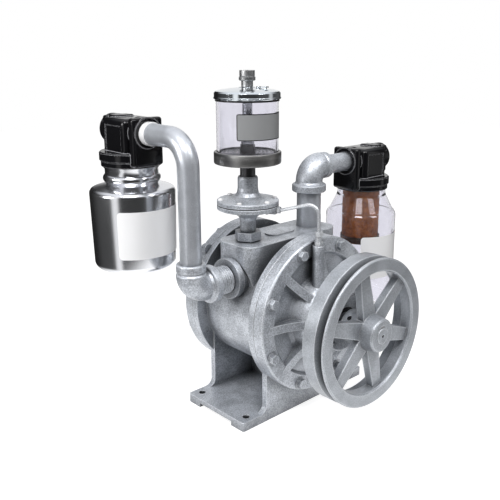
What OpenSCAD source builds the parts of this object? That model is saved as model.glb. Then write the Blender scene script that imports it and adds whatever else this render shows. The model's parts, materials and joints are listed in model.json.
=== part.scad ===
// Oil-lubricated rotary vane vacuum pump with a belt pulley, a drip oiler on a
// vacuum-worked valve, an exhaust oil-trap flask and an intake filter jar.
// Millimetres. +Z is up, the shaft runs along Y with the pulley at -Y,
// and the intake side is at +X. The origin is the foot's middle on the floor.

/* [Foot and housing] */
// Height of the shaft above the floor
shaft_z = 168; // [160:1:200]
// Foot length, across the shaft
foot_l = 292; // [280:1:350]
// Foot width, along the shaft
foot_w = 140; // [124:1:150]
// Foot thickness
foot_t = 15; // [12:1:20]
// Housing length along the shaft, between the end covers
body_l = 150; // [130:1:180]
// Radius of the end flanges and covers
flange_r = 129; // [126:1:140]
// Thickness of each housing end flange
wall_t = 12; // [10:1:15]
// Thickness of the two walls that stand on the foot
web_t = 10; // [8:1:14]
// Width of the two walls that stand on the foot
web_l = 191; // [180:1:200]
// Outer radius of the barrel
barrel_r = 108; // [106:1:110]
// Radius of the working bore
bore_r = 91; // [88:1:94]
// Diameter of the foot bolt holes
foot_hole_d = 11.5; // [9:0.5:14]
// Foot bolt spacing across the shaft
foot_bolts_x = 256; // [244:1:262]
// Foot bolt spacing along the shaft
foot_bolts_y = 112; // [90:1:114]

/* [Rotor] */
// Radius of the slotted rotor
rotor_r = 81; // [78:1:84]
// Vane thickness
vane_t = 6; // [5:0.5:8]
// Vane height, along its slot
vane_h = 30; // [24:1:34]
// Shaft radius at the bearings
journal_r = 17.5; // [15:0.5:18]
// Shaft radius at the pulley
nose_r = 13; // [12:0.5:14]

/* [End covers] */
// Thickness of the cover rim
rim_t = 19.5; // [14:0.5:22]
// Radius of the bearing hub at its outer end
hub_r = 46; // [44:1:52]
// Radius of the bearing hub where it meets the cover
hub_base_r = 61; // [56:1:66]
// Height of the front bearing hub above the housing
front_hub_h = 67; // [60:1:68]
// Height of the rear bearing hub above the housing
rear_hub_h = 44; // [42:1:54]
// Rib thickness
rib_t = 14; // [8:1:16]
// Bearing outer radius
bearing_r = 36; // [33:1:37]
// Bearing width
bearing_w = 17; // [14:1:19]
// Radius of the cover bolt circle
cover_bolt_r = 117; // [115:0.5:118]
// Number of cover bolts and ribs
cover_bolts = 8; // [6:2:12]
// Sideways distance of the oil boss from the shaft, on the exhaust side
oil_boss_x = 16; // [0:1:24]
// Height of the oil boss above the shaft
oil_boss_up = 121; // [112:1:126]

/* [Pulley] */
// Pulley outer radius
pulley_r = 117.5; // [100:0.5:140]
// Pulley rim width
pulley_w = 42; // [38:1:60]
// Distance of the pulley's front face from the end of the front bearing hub
pulley_out = 65.2; // [62:0.1:90]
// Rim thickness under the flat
pulley_rim_t = 21; // [18:1:28]
// Radius of the pulley's hub
pulley_hub_r = 26; // [24:1:32]
// Spoke angle, measured from the exhaust side
spoke_phase = 18; // [0:1:60]

/* [Pipes] */
// Outer radius of the intake riser and the exhaust nipple
pipe_r = 21.1; // [19:0.1:22]
// Outer radius of the exhaust pipe and the intake nipple
small_pipe_r = 16.7; // [13:0.1:18]
// Pipe wall
pipe_t = 3.4; // [2:0.1:4]
// Elbow centre to end
elbow_l = 41; // [39:1:60]
// Height of the exhaust boss above the shaft
exhaust_up = 64; // [58:1:68]
// Distance of the exhaust boss face from the shaft
exhaust_x = 118; // [112:1:126]
// Length of the exhaust nipple that shows
exhaust_gap = 28; // [16:1:40]
// Height of the exhaust pipe's top run
exhaust_top = 460; // [430:1:500]
// Bend radius of the exhaust pipe
bend_r = 43; // [36:1:56]
// Distance of the intake riser from the shaft
riser_x = 73; // [68:1:78]
// Height of the intake elbow's axis
intake_top = 389; // [376:1:420]

/* [Filter heads, flask and jar] */
// Distance of the flask's axis from the exhaust pipe
flask_y = 150; // [136:1:170]
// Distance of the jar's axis from the shaft
jar_x = 218; // [206:1:250]
// Head collar radius
collar_r = 52; // [50:1:58]
// Head length from its axis to a port face
head_half = 52; // [48:1:58]
// Flask radius at the shoulder
flask_r = 69.5; // [64:0.5:78]
// Flask height below the collar
flask_h = 167; // [150:1:190]
// Jar radius
jar_r = 65.5; // [62:0.5:74]
// Jar height below the collar
jar_h = 212; // [190:1:230]
// Length of the filter elements
element_h = 105; // [80:1:120]

/* [Oiler and valve] */
// Distance of the oiler's axis from the shaft, on the exhaust side
oiler_x = 70; // [64:1:76]
// Height of the top duct's face
duct_z = 287; // [282:1:296]
// Valve flange radius
valve_r = 49.5; // [46:0.5:56]
// Height of the valve's bonnet
bonnet_h = 44.5; // [38:0.5:56]
// Oiler glass outer radius
glass_r = 48.5; // [44:0.5:56]
// Oiler glass height
glass_h = 78; // [66:1:100]
// Outer radius of the oil tube
tube_r = 2.8; // [2:0.1:3.2]

/* [Hidden] */

$fn = 64;
CAST = "#a4a7a9";
STEEL = "#b9bcbf";
DARK = "#2b2c2e";
BLACK = "#141414";

// Gap left round threads and other parts that screw or slip together
slip = 0.1;
// Gap left at pressed and keyed seats
seat = 0.02;
// Radial running clearance of the shaft
run = 0.05;
// Cover gasket thickness
gasket_t = 0.8;
// Sideways offset of the working bore from the shaft, so that the rotor nearly touches its top
bore_drop = bore_r - rotor_r - run;
// Outer end of the covers' inner faces
seat_y = body_l / 2 + gasket_t;
// Rotor end clearance at each cover
end_gap = 0.1;
core_r = 20;
port_r = pipe_r - pipe_t;
socket_r = pipe_r + slip;
small_port_r = small_pipe_r - pipe_t;
small_socket_r = small_pipe_r + slip;
socket_d = 15;

pad_l = 30;
pad_h = 7;
foot_corner_r = 4;
rib_foot_r = 13;
bolt_r = 4.8;
bolt_head_h = 7;
bolt_head_r = 8.2;

boss_z = shaft_z + exhaust_up;
boss_r = 33;
duct_w = 84;
duct_x0 = -106;
duct_x1 = 106;
// The hole that brings the intake's vacuum along the duct to the valve
vacuum_way_z = duct_z - 24;
vacuum_way_r = 5;

// Bend radius and outer radius of an elbow's body
elbow_c = 24;
elbow_body_r = 23.2;
exhaust_axis_x = -(exhaust_x + exhaust_gap + elbow_l);
exhaust_leg_z0 = boss_z + elbow_l - socket_d + 1;
exhaust_run_y = flask_y - head_half + socket_d - 3;
head_port_z = 55;
collar_h = 24;
// Half length of a head's middle block, between its two port blocks
block_half = head_half - 22;
neck_r = 45;
neck_d = 12;
exhaust_head_z = exhaust_top - head_port_z;
intake_head_z = intake_top - head_port_z;

cap_t = 7;
seal_r = 26;
cap_screw_r = 41;
cap_screw_shank_r = 2.5;
cap_screw_hole_r = cap_screw_shank_r + slip;
front_cap_y = -(seat_y + front_hub_h + cap_t);
// Distance of the pulley's front face from the housing's middle
pulley_y = seat_y + front_hub_h + pulley_out;
// How far the pulley's hub stands out before and behind its rim
hub_out = 14;
hub_back = 6;
hub_front_y = -(pulley_y + hub_out);
shaft_front_y = hub_front_y - 1.5;
set_screw_r = 4;
set_screw_y = pulley_w - 6;
set_screw_angle = spoke_phase - 150;
key_w = 8;
key_h = 6;
key_l = 50;

bushing_r = 16;
valve_foot_r = 12;
bushing_z = duct_z + 16;
valve_z = bushing_z + 37.5;
body_rim_t = 6;
diaphragm_t = 1.5;
bonnet_z = valve_z + body_rim_t + diaphragm_t;
bonnet_top = bonnet_z + bonnet_h;
neck_pipe_r = 12.2;
base_z = bonnet_top + 23;
base_h = 13;
gasket_h = 3;
glass_z = base_z + base_h + gasket_h;
cap_z = glass_z + glass_h + gasket_h;
cap_r = glass_r + 3;
cap_h = 18;
cap_top = cap_z + cap_h;
knob_z = cap_top + 16.2;
knob_h = 8.5;
spring_r = 6;
stem_r = 2.5;
// Lower face of the stem's plate, on the floor of the body's recess
stem_low = valve_z + 1 + slip;
stem_plate_r = 22;
flange_screw_r = 2;
needle_r = 1.8;
// Radii of the oiler's centre tube inside the glass and through the cap
centre_tube_r = 7.9;
centre_screw_r = 6;
fill_pin_r = 1.5;
fill_hole_r = 20;
fill_post_r = 30;
fill_angle = -62;

element_r = 35;
rod_r = 3;
cup_h = 8;
// Lower face of the filter cups, measured from the collar
cup_low = neck_d - 0.4 - element_h - cup_h;

oil_boss_r = 9.5;
// Thread radius of the fitting in the oil boss, and of the one in the valve
fitting_r = 4.5;
valve_fitting_r = 4;
oil_boss_y = -(seat_y + rim_t + oil_boss_r - 0.5);
oil_boss_top = shaft_z + oil_boss_up;
tube_span = norm([oiler_x - oil_boss_x, oil_boss_y]);
tube_fit_angle = atan2(oil_boss_y, oiler_x - oil_boss_x);
tube_z = valve_z + 0.5;
tube_start_r = valve_r + 0.6;
tube_bend_r = 16;
tube_climb = 15;
// Where the tube ends in the cover's fitting, and the fitting's height, above the oil boss
tube_seat_h = 15;
tube_nut_h = 22;

// The oil tube's middle line as points of reach, height and heading, with its bends as arcs
tube_level_end = tube_start_r + 4;
tube_foot_c = [tube_level_end, tube_z + tube_bend_r];
tube_slope_dir = [cos(tube_climb), sin(tube_climb)];
tube_slope_start = tube_foot_c + tube_bend_r * [sin(tube_climb), -cos(tube_climb)];
tube_slope_l = (tube_span - tube_bend_r * (1 + sin(tube_climb)) - tube_slope_start[0])
    / cos(tube_climb);
tube_top_c = tube_slope_start + tube_slope_l * tube_slope_dir
    + tube_bend_r * [sin(tube_climb), -cos(tube_climb)];
tube_line = concat(
    [[tube_start_r, tube_z, 0]],
    [for (h = [0 : 5 : tube_climb])
        [tube_foot_c[0] + tube_bend_r * sin(h), tube_foot_c[1] - tube_bend_r * cos(h), h]],
    [for (h = [tube_climb : -7.5 : -90])
        [tube_top_c[0] - tube_bend_r * sin(h), tube_top_c[1] + tube_bend_r * cos(h), h]],
    [[tube_span, tube_top_c[1], -90], [tube_span, oil_boss_top + tube_seat_h + 0.2, -90]]
);

rotor_half = seat_y - end_gap;
vane_out_r = rotor_r - 0.2;

// Shapes drawn from a cover's inner face outwards: side is -1 at the pulley end and 1 at the rear
module at_end(side) {
    translate([0, side * seat_y, shaft_z])
        rotate([side > 0 ? -90 : 90, 0, 0])
            children();
}

// A solid turned about the shaft from points of radius and place along Y
module turned_y(points) {
    translate([0, 0, shaft_z])
        rotate([-90, 0, 0])
            rotate_extrude($fn = 96)
                polygon(points);
}

module rounded_rect(l, w, r) {
    square([l - 2 * r, w], center = true);
    square([l, w - 2 * r], center = true);
    for (x = [-1, 1], y = [-1, 1])
        translate([x * (l / 2 - r), y * (w / 2 - r)])
            circle(r);
}

module ring(r_out, r_in, h) {
    difference() {
        cylinder(r = r_out, h = h);
        translate([0, 0, -1])
            cylinder(r = r_in, h = h + 2);
    }
}

module hex(across, h) {
    cylinder(r = across / 2 / cos(30), h = h, $fn = 6);
}

// The concave corner between two square faces
module fillet_2d(r) {
    difference() {
        square(r);
        translate([r, r])
            circle(r);
    }
}

// A pipe bend about the Y axis of its own frame: it leaves the origin upwards and turns towards +X
module bend(radius, r, angle = 90) {
    translate([radius, 0, 0])
        rotate([90, 0, 0])
            rotate([0, 0, 180 - angle])
                rotate_extrude(angle = angle)
                    translate([radius, 0])
                        circle(r);
}

// Foot and housing

module foot() {
    difference() {
        linear_extrude(foot_t)
            rounded_rect(foot_l, foot_w, foot_corner_r);
        translate([-foot_l, -foot_w / 2 + pad_l, -1])
            cube([2 * foot_l, foot_w - 2 * pad_l, pad_h + 1]);
    }
}

module web_outline() {
    translate([-web_l / 2, foot_t / 2])
        square([web_l, shaft_z - foot_t / 2 - 40]);
    for (side = [-1, 1])
        translate([side * web_l / 2, foot_t])
            mirror([side < 0 ? 1 : 0, 0])
                fillet_2d(rib_foot_r);
}

// A round flange for the cover, on a web that stands flush with the foot's side
module end_wall(side) {
    translate([0, side * body_l / 2, shaft_z])
        rotate([side * 90, 0, 0])
            cylinder(r = flange_r, h = wall_t, $fn = 96);
    translate([0, side > 0 ? foot_w / 2 : web_t - foot_w / 2, 0])
        rotate([90, 0, 0])
            linear_extrude(web_t)
                web_outline();
}

module top_duct() {
    intersection() {
        translate([0, duct_w, 0])
            rotate([90, 0, 0])
                linear_extrude(2 * duct_w)
                    polygon([
                        [duct_x0, duct_z], [duct_x0, duct_z - 30], [-90, shaft_z + 40],
                        [0, shaft_z + 60], [duct_x1 - 20, shaft_z + 10], [duct_x1, shaft_z + 30],
                        [duct_x1, duct_z]
                    ]);
        translate([(duct_x0 + duct_x1) / 2, 0, shaft_z])
            linear_extrude(duct_z)
                rounded_rect(duct_x1 - duct_x0, duct_w, 24);
    }
    translate([(riser_x - oiler_x) / 2, 0, duct_z - 1])
        linear_extrude(3)
            rounded_rect(58, 27, 13.4);
}

module exhaust_boss() {
    translate([-exhaust_x, 0, boss_z])
        rotate([0, 90, 0]) {
            cylinder(r = boss_r, h = 11);
            cylinder(r = boss_r - 3, h = exhaust_x - 50);
        }
}

module cover_bolt_places(radius) {
    for (i = [0 : cover_bolts - 1])
        rotate([0, 0, (i + 0.5) * 360 / cover_bolts])
            translate([radius, 0, 0])
                children();
}

module pump_housing() {
    color(CAST)
        difference() {
            union() {
                foot();
                end_wall(-1);
                end_wall(1);
                translate([0, -body_l / 2 + 1, shaft_z])
                    rotate([-90, 0, 0])
                        cylinder(r = barrel_r, h = body_l - 2, $fn = 96);
                translate([-7, -foot_w / 2 + 1, foot_t / 2])
                    cube([14, foot_w - 2, shaft_z - barrel_r]);
                top_duct();
                exhaust_boss();
            }
            translate([0, -body_l, shaft_z - bore_drop])
                rotate([-90, 0, 0])
                    cylinder(r = bore_r, h = 2 * body_l, $fn = 96);
            for (side = [-1, 1])
                at_end(side)
                    cover_bolt_places(cover_bolt_r)
                        translate([0, 0, -gasket_t - wall_t - 1])
                            cylinder(r = bolt_r + slip, h = wall_t + 2);
            for (x = [-1, 1], y = [-1, 1])
                translate([x * foot_bolts_x / 2, y * foot_bolts_y / 2, -1])
                    cylinder(d = foot_hole_d, h = foot_t + 2);
            translate([-exhaust_x - 1, 0, boss_z])
                rotate([0, 90, 0]) {
                    cylinder(r = socket_r, h = socket_d + 1);
                    cylinder(r = port_r, h = exhaust_x - 40);
                }
            translate([riser_x, 0, duct_z - socket_d])
                cylinder(r = socket_r, h = socket_d + 1);
            translate([riser_x, 0, shaft_z + 44])
                cylinder(r = 15, h = duct_z - shaft_z);
            translate([riser_x, 0, shaft_z + 59])
                rotate([0, -90, 0])
                    cylinder(r = 14.9, h = riser_x - 45);
            translate([-oiler_x, 0, duct_z - socket_d])
                cylinder(r = bushing_r + slip, h = socket_d + 1);
            translate([-oiler_x, 0, vacuum_way_z])
                cylinder(r = vacuum_way_r, h = duct_z - vacuum_way_z);
            translate([-oiler_x, 0, vacuum_way_z])
                rotate([0, 90, 0])
                    cylinder(r = vacuum_way_r, h = oiler_x + riser_x);
        }
}

module cover_gasket(side) {
    color("#6b6458")
        translate([0, side > 0 ? body_l / 2 : -body_l / 2 - gasket_t, shaft_z])
            rotate([-90, 0, 0])
                difference() {
                    cylinder(r = flange_r - 0.5, h = gasket_t, $fn = 96);
                    translate([0, bore_drop, -1])
                        cylinder(r = bore_r, h = gasket_t + 2, $fn = 96);
                    cover_bolt_places(cover_bolt_r)
                        translate([0, 0, -1])
                            cylinder(r = bolt_r + slip, h = gasket_t + 2);
                }
}

module front_gasket() {
    cover_gasket(-1);
}

module rear_gasket() {
    cover_gasket(1);
}

// End covers

// One rib, rising in a hollow curve from the rim to the hub
module cover_rib(hub_h) {
    start = hub_r - 2;
    reach = flange_r - 4 - start;
    rise = hub_h - rim_t - 8;
    translate([0, rib_t / 2, 0])
        rotate([90, 0, 0])
            linear_extrude(rib_t)
                difference() {
                    translate([start, rim_t - 8])
                        square([reach, rise + 8]);
                    translate([start + reach, rim_t + rise])
                        scale([reach, rise])
                            circle(1, $fn = 64);
                }
}

module end_cover(hub_h, pocket_h) {
    difference() {
        union() {
            rotate_extrude($fn = 96)
                polygon([
                    [0, 0], [flange_r, 0], [flange_r, rim_t - 2], [flange_r - 2, rim_t],
                    [flange_r - 25, rim_t], [flange_r - 30, rim_t - 5],
                    [hub_base_r + 8, rim_t - 5], [hub_base_r + 2, rim_t - 2],
                    [hub_base_r, rim_t + 4], [hub_base_r - 3, rim_t + 14],
                    [hub_r, hub_h - 8], [hub_r, hub_h], [0, hub_h]
                ]);
            for (i = [0 : cover_bolts - 1])
                rotate([0, 0, i * 360 / cover_bolts])
                    cover_rib(hub_h);
        }
        cover_bolt_places(cover_bolt_r)
            translate([0, 0, -1])
                cylinder(r = bolt_r + slip, h = rim_t + 2);
        translate([0, 0, -1])
            cylinder(r = journal_r + 1, h = hub_h + 2);
        translate([0, 0, pocket_h])
            cylinder(r = bearing_r + seat, h = hub_h);
        cap_screw_places()
            translate([0, 0, hub_h - 12])
                cylinder(r = cap_screw_hole_r, h = 13);
    }
}

module cap_screw_places() {
    for (a = [45 : 90 : 315])
        rotate([0, 0, a])
            translate([cap_screw_r, 0, 0])
                children();
}

module front_end_cover() {
    color(CAST)
        difference() {
            union() {
                at_end(-1)
                    end_cover(front_hub_h, front_hub_h - bearing_w - 5);
                translate([-oil_boss_x, oil_boss_y, shaft_z + hub_base_r - 14])
                    cylinder(r = oil_boss_r, h = oil_boss_up - hub_base_r + 14);
            }
            translate([-oil_boss_x, oil_boss_y, shaft_z + 4])
                cylinder(r = 2, h = oil_boss_top);
            translate([-oil_boss_x, oil_boss_y, oil_boss_top - 9])
                cylinder(r = fitting_r + slip, h = 10);
            at_end(-1)
                translate([0, 0, front_hub_h - bearing_w - 5])
                    cylinder(r = bearing_r + seat, h = front_hub_h);
        }
}

module rear_end_cover() {
    color(CAST) {
        at_end(1)
            end_cover(rear_hub_h, rear_hub_h - bearing_w - 5);
        at_end(1)
            rotate([0, 0, -135])
                translate([flange_r, 0, 0])
                    cylinder(r = 9, h = 10);
    }
}

module hex_bolt() {
    translate([0, 0, rim_t]) {
        ring(10, bolt_r, 1.2);
        translate([0, 0, 1.2])
            hex(2 * bolt_head_r * cos(30), bolt_head_h);
    }
    translate([0, 0, -wall_t])
        cylinder(r = bolt_r, h = wall_t + rim_t + 2);
}

module cover_bolt_set(side) {
    color(CAST)
        at_end(side)
            cover_bolt_places(cover_bolt_r)
                hex_bolt();
}

module front_cover_bolts() {
    cover_bolt_set(-1);
}

module rear_cover_bolts() {
    cover_bolt_set(1);
}

// Rotor, vanes and bearings

module vane_slots() {
    for (a = [45 : 90 : 315])
        rotate([0, 0, a])
            translate([vane_out_r - vane_h - 0.4, -vane_t / 2 - run, -rotor_half - 1])
                cube([vane_h + 10, vane_t + 2 * run, 2 * rotor_half + 2]);
}

module rotor() {
    color("#8c8f92")
        translate([0, 0, shaft_z])
            rotate([-90, 0, 0])
                difference() {
                    translate([0, 0, -rotor_half])
                        cylinder(r = rotor_r, h = 2 * rotor_half, $fn = 96);
                    translate([0, 0, -rotor_half - 1])
                        cylinder(r = core_r + seat, h = 2 * rotor_half + 2);
                    vane_slots();
                }
}

module rotor_shaft() {
    rear_end = seat_y + rear_hub_h - 7;
    color(STEEL)
        difference() {
            turned_y([
                [0, shaft_front_y], [nose_r - 1, shaft_front_y], [nose_r, shaft_front_y + 1],
                [nose_r, front_cap_y - 4], [journal_r, front_cap_y - 4],
                [journal_r, -rotor_half], [core_r, -rotor_half], [core_r, rotor_half],
                [journal_r, rotor_half], [journal_r, rear_end], [0, rear_end]
            ]);
            translate([0, shaft_front_y - 1, shaft_z])
                rotate([-90, 0, 0])
                    cylinder(r = 2.5, h = 8);
            translate([-key_w / 2, hub_front_y, shaft_z + nose_r - key_h / 2])
                cube([key_w, key_l, key_h]);
        }
}

// Each vane lies flush in its slot, at 45 degrees to the line where the rotor seals
module vane(index) {
    color("#7b5a3a")
        translate([0, 0, shaft_z])
            rotate([-90, 0, 0])
                rotate([0, 0, 45 + 90 * index])
                    translate([vane_out_r - vane_h, -vane_t / 2, -rotor_half])
                        cube([vane_h, vane_t, 2 * rotor_half]);
}

module vane_1() {
    vane(0);
}

module vane_2() {
    vane(1);
}

module vane_3() {
    vane(2);
}

module vane_4() {
    vane(3);
}

module bearing() {
    rotate_extrude()
        polygon([
            [journal_r + run, 0], [24, 0], [24, 1], [30, 1], [30, 0], [bearing_r, 0],
            [bearing_r, bearing_w], [30, bearing_w], [30, bearing_w - 1],
            [24, bearing_w - 1], [24, bearing_w], [journal_r + run, bearing_w]
        ]);
}

module front_bearing() {
    color(STEEL)
        at_end(-1)
            translate([0, 0, front_hub_h - bearing_w - 5])
                bearing();
}

module rear_bearing() {
    color(STEEL)
        at_end(1)
            translate([0, 0, rear_hub_h - bearing_w - 5])
                bearing();
}

module bearing_cap(hub_h, hole_r) {
    translate([0, 0, hub_h])
        difference() {
            union() {
                rotate_extrude()
                    polygon([
                        [0, 0], [hub_r, 0], [hub_r, cap_t - 2], [hub_r - 2, cap_t], [0, cap_t]
                    ]);
                translate([0, 0, -5])
                    ring(bearing_r - slip, 27, 6);
            }
            if (hole_r > 0)
                translate([0, 0, -1])
                    cylinder(r = hole_r, h = cap_t + 2);
            cap_screw_places()
                translate([0, 0, -1])
                    cylinder(r = cap_screw_hole_r, h = cap_t + 2);
        }
}

module front_bearing_cap() {
    color(CAST)
        at_end(-1)
            bearing_cap(front_hub_h, seal_r + slip);
}

module rear_bearing_cap() {
    color(CAST)
        at_end(1)
            bearing_cap(rear_hub_h, 0);
}

module front_oil_seal() {
    color(BLACK)
        at_end(-1)
            translate([0, 0, front_hub_h - 1])
                rotate_extrude()
                    polygon([
                        [journal_r + run, 0], [seal_r, 0], [seal_r, cap_t], [22, cap_t],
                        [20, cap_t - 2], [journal_r + run, cap_t - 2]
                    ]);
}

module bearing_cap_screws() {
    color(STEEL) {
        at_end(-1)
            cap_screws(front_hub_h);
        at_end(1)
            cap_screws(rear_hub_h);
    }
}

module cap_screws(hub_h) {
    cap_screw_places()
        translate([0, 0, hub_h + cap_t]) {
            hex(8, 4);
            translate([0, 0, -cap_t - 10])
                cylinder(r = cap_screw_shank_r, h = cap_t + 11);
        }
}

// Pulley

module pulley_spoke() {
    inner = pulley_hub_r - 3;
    outer = pulley_r - pulley_rim_t + 4;
    linear_extrude(13)
        polygon([[inner, -14], [outer, -10], [outer, 10], [inner, 14]]);
}

module drive_pulley() {
    rim_in = pulley_r - pulley_rim_t;
    groove_d = 13;
    color(CAST)
        translate([0, -pulley_y, shaft_z])
            rotate([-90, 0, 0])
                difference() {
                    union() {
                        rotate_extrude($fn = 128)
                            polygon([
                                [rim_in + 2, 0], [pulley_r - 1.5, 0], [pulley_r, 1.5],
                                [pulley_r, 4], [pulley_r - groove_d, 8.5],
                                [pulley_r - groove_d, 12], [pulley_r, 18],
                                [pulley_r, pulley_w - 1.5], [pulley_r - 1.5, pulley_w],
                                [rim_in + 9, pulley_w], [rim_in + 9, 25], [rim_in, 21], [rim_in, 3]
                            ]);
                        for (i = [0 : 5])
                            rotate([0, 0, spoke_phase + 60 * i])
                                translate([0, 0, 7])
                                    pulley_spoke();
                        rotate_extrude($fn = 64)
                            polygon([
                                [0, -hub_out], [pulley_hub_r - 2, -hub_out],
                                [pulley_hub_r, 2 - hub_out], [pulley_hub_r + 3, 6],
                                [pulley_hub_r + 3, 22], [pulley_hub_r, pulley_w - 4],
                                [pulley_hub_r, pulley_w + hub_back], [0, pulley_w + hub_back]
                            ]);
                    }
                    translate([0, 0, -hub_out - 1])
                        cylinder(r = nose_r + seat, h = pulley_w + 60);
                    translate([-key_w / 2 - seat, -nose_r - key_h / 2 - 0.1, -hub_out - 1])
                        cube([key_w + 2 * seat, nose_r, pulley_w + 60]);
                    rotate([0, 0, set_screw_angle])
                        translate([0, 0, set_screw_y])
                            rotate([0, 90, 0])
                                cylinder(r = set_screw_r + slip, h = 2 * pulley_hub_r);
                }
}

module pulley_key() {
    color(STEEL)
        translate([-key_w / 2 + seat, hub_front_y + 0.5, shaft_z + nose_r - key_h / 2 + seat])
            cube([key_w - 2 * seat, key_l - 1, key_h - slip]);
}

module pulley_set_screw() {
    color(DARK)
        translate([0, set_screw_y - pulley_y, shaft_z])
            rotate([0, set_screw_angle, 0])
                rotate([0, 90, 0])
                    translate([0, 0, nose_r + 0.1])
                        difference() {
                            cylinder(r = set_screw_r, h = pulley_hub_r - nose_r - 3);
                            translate([0, 0, 5])
                                hex(4, pulley_hub_r);
                        }
}

// Pipes

// A reducing elbow about its own centre: the wide leg faces down and the narrow leg faces +X
module elbow_leg(pipe, band) {
    band_l = 13;
    translate([0, 0, -elbow_l])
        rotate_extrude()
            polygon([
                [0, 0], [band - 1.5, 0], [band, 1.5], [band, band_l - 1.5], [band - 1.5, band_l],
                [pipe + 4, band_l + 1], [elbow_body_r, elbow_l - elbow_c], [0, elbow_l - elbow_c]
            ]);
}

module elbow_leg_bore(pipe) {
    translate([0, 0, -elbow_l - 1])
        cylinder(r = pipe + slip, h = socket_d + 1);
    translate([0, 0, -elbow_l - 1])
        cylinder(r = small_port_r, h = elbow_l - elbow_c + 1);
}

module elbow() {
    difference() {
        union() {
            translate([0, 0, -elbow_c])
                bend(elbow_c, elbow_body_r);
            elbow_leg(pipe_r, pipe_r + 8.4);
            rotate([0, -90, 0])
                elbow_leg(small_pipe_r, small_pipe_r + 6.1);
        }
        translate([0, 0, -elbow_c])
            bend(elbow_c, small_port_r);
        elbow_leg_bore(pipe_r);
        rotate([0, -90, 0])
            elbow_leg_bore(small_pipe_r);
    }
}

// A straight pipe along X
module pipe_x(r, x0, x1) {
    translate([x0, 0, 0])
        rotate([0, 90, 0])
            ring(r, r - pipe_t, x1 - x0);
}

module exhaust_nipple() {
    color(STEEL)
        translate([0, 0, boss_z])
            pipe_x(pipe_r, exhaust_axis_x + elbow_l - socket_d + 1, -exhaust_x + socket_d - 1);
}

module exhaust_elbow() {
    color(CAST)
        translate([exhaust_axis_x, 0, boss_z])
            rotate([0, -90, 0])
                elbow();
}

// Up out of the elbow, round towards the rear, and into the head's near port
module exhaust_pipe_shape(r) {
    translate([0, 0, exhaust_leg_z0])
        cylinder(r = r, h = exhaust_top - bend_r - exhaust_leg_z0);
    translate([0, 0, exhaust_top - bend_r])
        rotate([0, 0, 90])
            bend(bend_r, r);
    translate([0, bend_r, exhaust_top])
        rotate([-90, 0, 0])
            cylinder(r = r, h = exhaust_run_y - bend_r);
}

module exhaust_pipe() {
    color(CAST)
        translate([exhaust_axis_x, 0, 0])
            difference() {
                exhaust_pipe_shape(small_pipe_r);
                exhaust_pipe_shape(small_port_r);
                translate([0, 0, exhaust_leg_z0 - 1])
                    cylinder(r = small_port_r, h = 2);
                translate([0, exhaust_run_y + 1, exhaust_top])
                    rotate([90, 0, 0])
                        cylinder(r = small_port_r, h = 2);
            }
}

// The lock ring that meets the head's near port
module exhaust_ferrule() {
    color("#d9dbdc")
        translate([exhaust_axis_x, flask_y - head_half - 0.2, exhaust_top])
            rotate([90, 0, 0])
                rotate_extrude()
                    polygon([
                        [small_socket_r, 0], [small_pipe_r + 1.4, 0], [small_pipe_r + 1.8, 0.6],
                        [small_pipe_r + 1.8, 11], [small_pipe_r + 1.4, 12], [small_socket_r, 12]
                    ]);
}

// Filter heads: the collar stands at z = 0 and the two ports face along X

module head_body() {
    rotate_extrude($fn = 96)
        polygon([
            [0, 0], [collar_r - 3, 0], [collar_r - 0.8, 1.5], [collar_r, 4],
            [collar_r, collar_h - 6], [collar_r - 1.5, collar_h - 4], [collar_r - 5, collar_h - 3],
            [collar_r - 8, collar_h], [0, collar_h]
        ]);
    head_block(-block_half, block_half, [25, collar_h - 6, head_port_z + 21.5], 9);
    for (side = [0, 180])
        rotate([0, 0, side]) {
            head_block(block_half - 1, head_half - 3, [28, head_port_z - 27, head_port_z + 24.5], 12);
            translate([head_half - 4, 0, head_port_z])
                rotate([0, 90, 0])
                    rotate_extrude()
                        polygon([[0, 0], [25, 0], [25, 3], [24, 4], [0, 4]]);
        }
}

// A block with rounded edges along X, from its half width, low side and high side
module head_block(x0, x1, size, r) {
    translate([x0, 0, 0])
        rotate([90, 0, 90])
            linear_extrude(x1 - x0)
                translate([0, (size[1] + size[2]) / 2])
                    rounded_rect(2 * size[0], size[2] - size[1], r);
}

module filter_head() {
    difference() {
        head_body();
        translate([0, 0, -1])
            cylinder(r = neck_r + slip, h = neck_d + 3);
        translate([0, 0, neck_d])
            cylinder(r = 38, h = 12);
        for (side = [0, 180])
            rotate([0, 0, side]) {
                translate([head_half - socket_d, 0, head_port_z])
                    rotate([0, 90, 0])
                        cylinder(r = small_socket_r, h = socket_d + 1);
                translate([6, 0, head_port_z])
                    rotate([0, 90, 0])
                        cylinder(r = small_port_r, h = head_half);
            }
        translate([-25, 0, neck_d + 10])
            cylinder(r = 10, h = head_port_z - neck_d - 10);
        translate([10, 0, neck_d + 10])
            cylinder(r = 4, h = head_port_z - neck_d - 10);
        translate([0, 0, neck_d])
            cylinder(r = rod_r + slip, h = 24);
    }
}

module exhaust_head() {
    color(BLACK)
        translate([exhaust_axis_x, flask_y, exhaust_head_z])
            rotate([0, 0, 90])
                filter_head();
}

module intake_head() {
    color(BLACK)
        translate([jar_x, 0, intake_head_z])
            filter_head();
}

module neck_gasket() {
    ring(neck_r - 0.3, 38.2, 1.8);
}

module flask_gasket() {
    color("#3a3a3a")
        translate([exhaust_axis_x, flask_y, exhaust_head_z + neck_d + 0.1])
            neck_gasket();
}

module jar_gasket() {
    color("#3a3a3a")
        translate([jar_x, 0, intake_head_z + neck_d + 0.1])
            neck_gasket();
}

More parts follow.
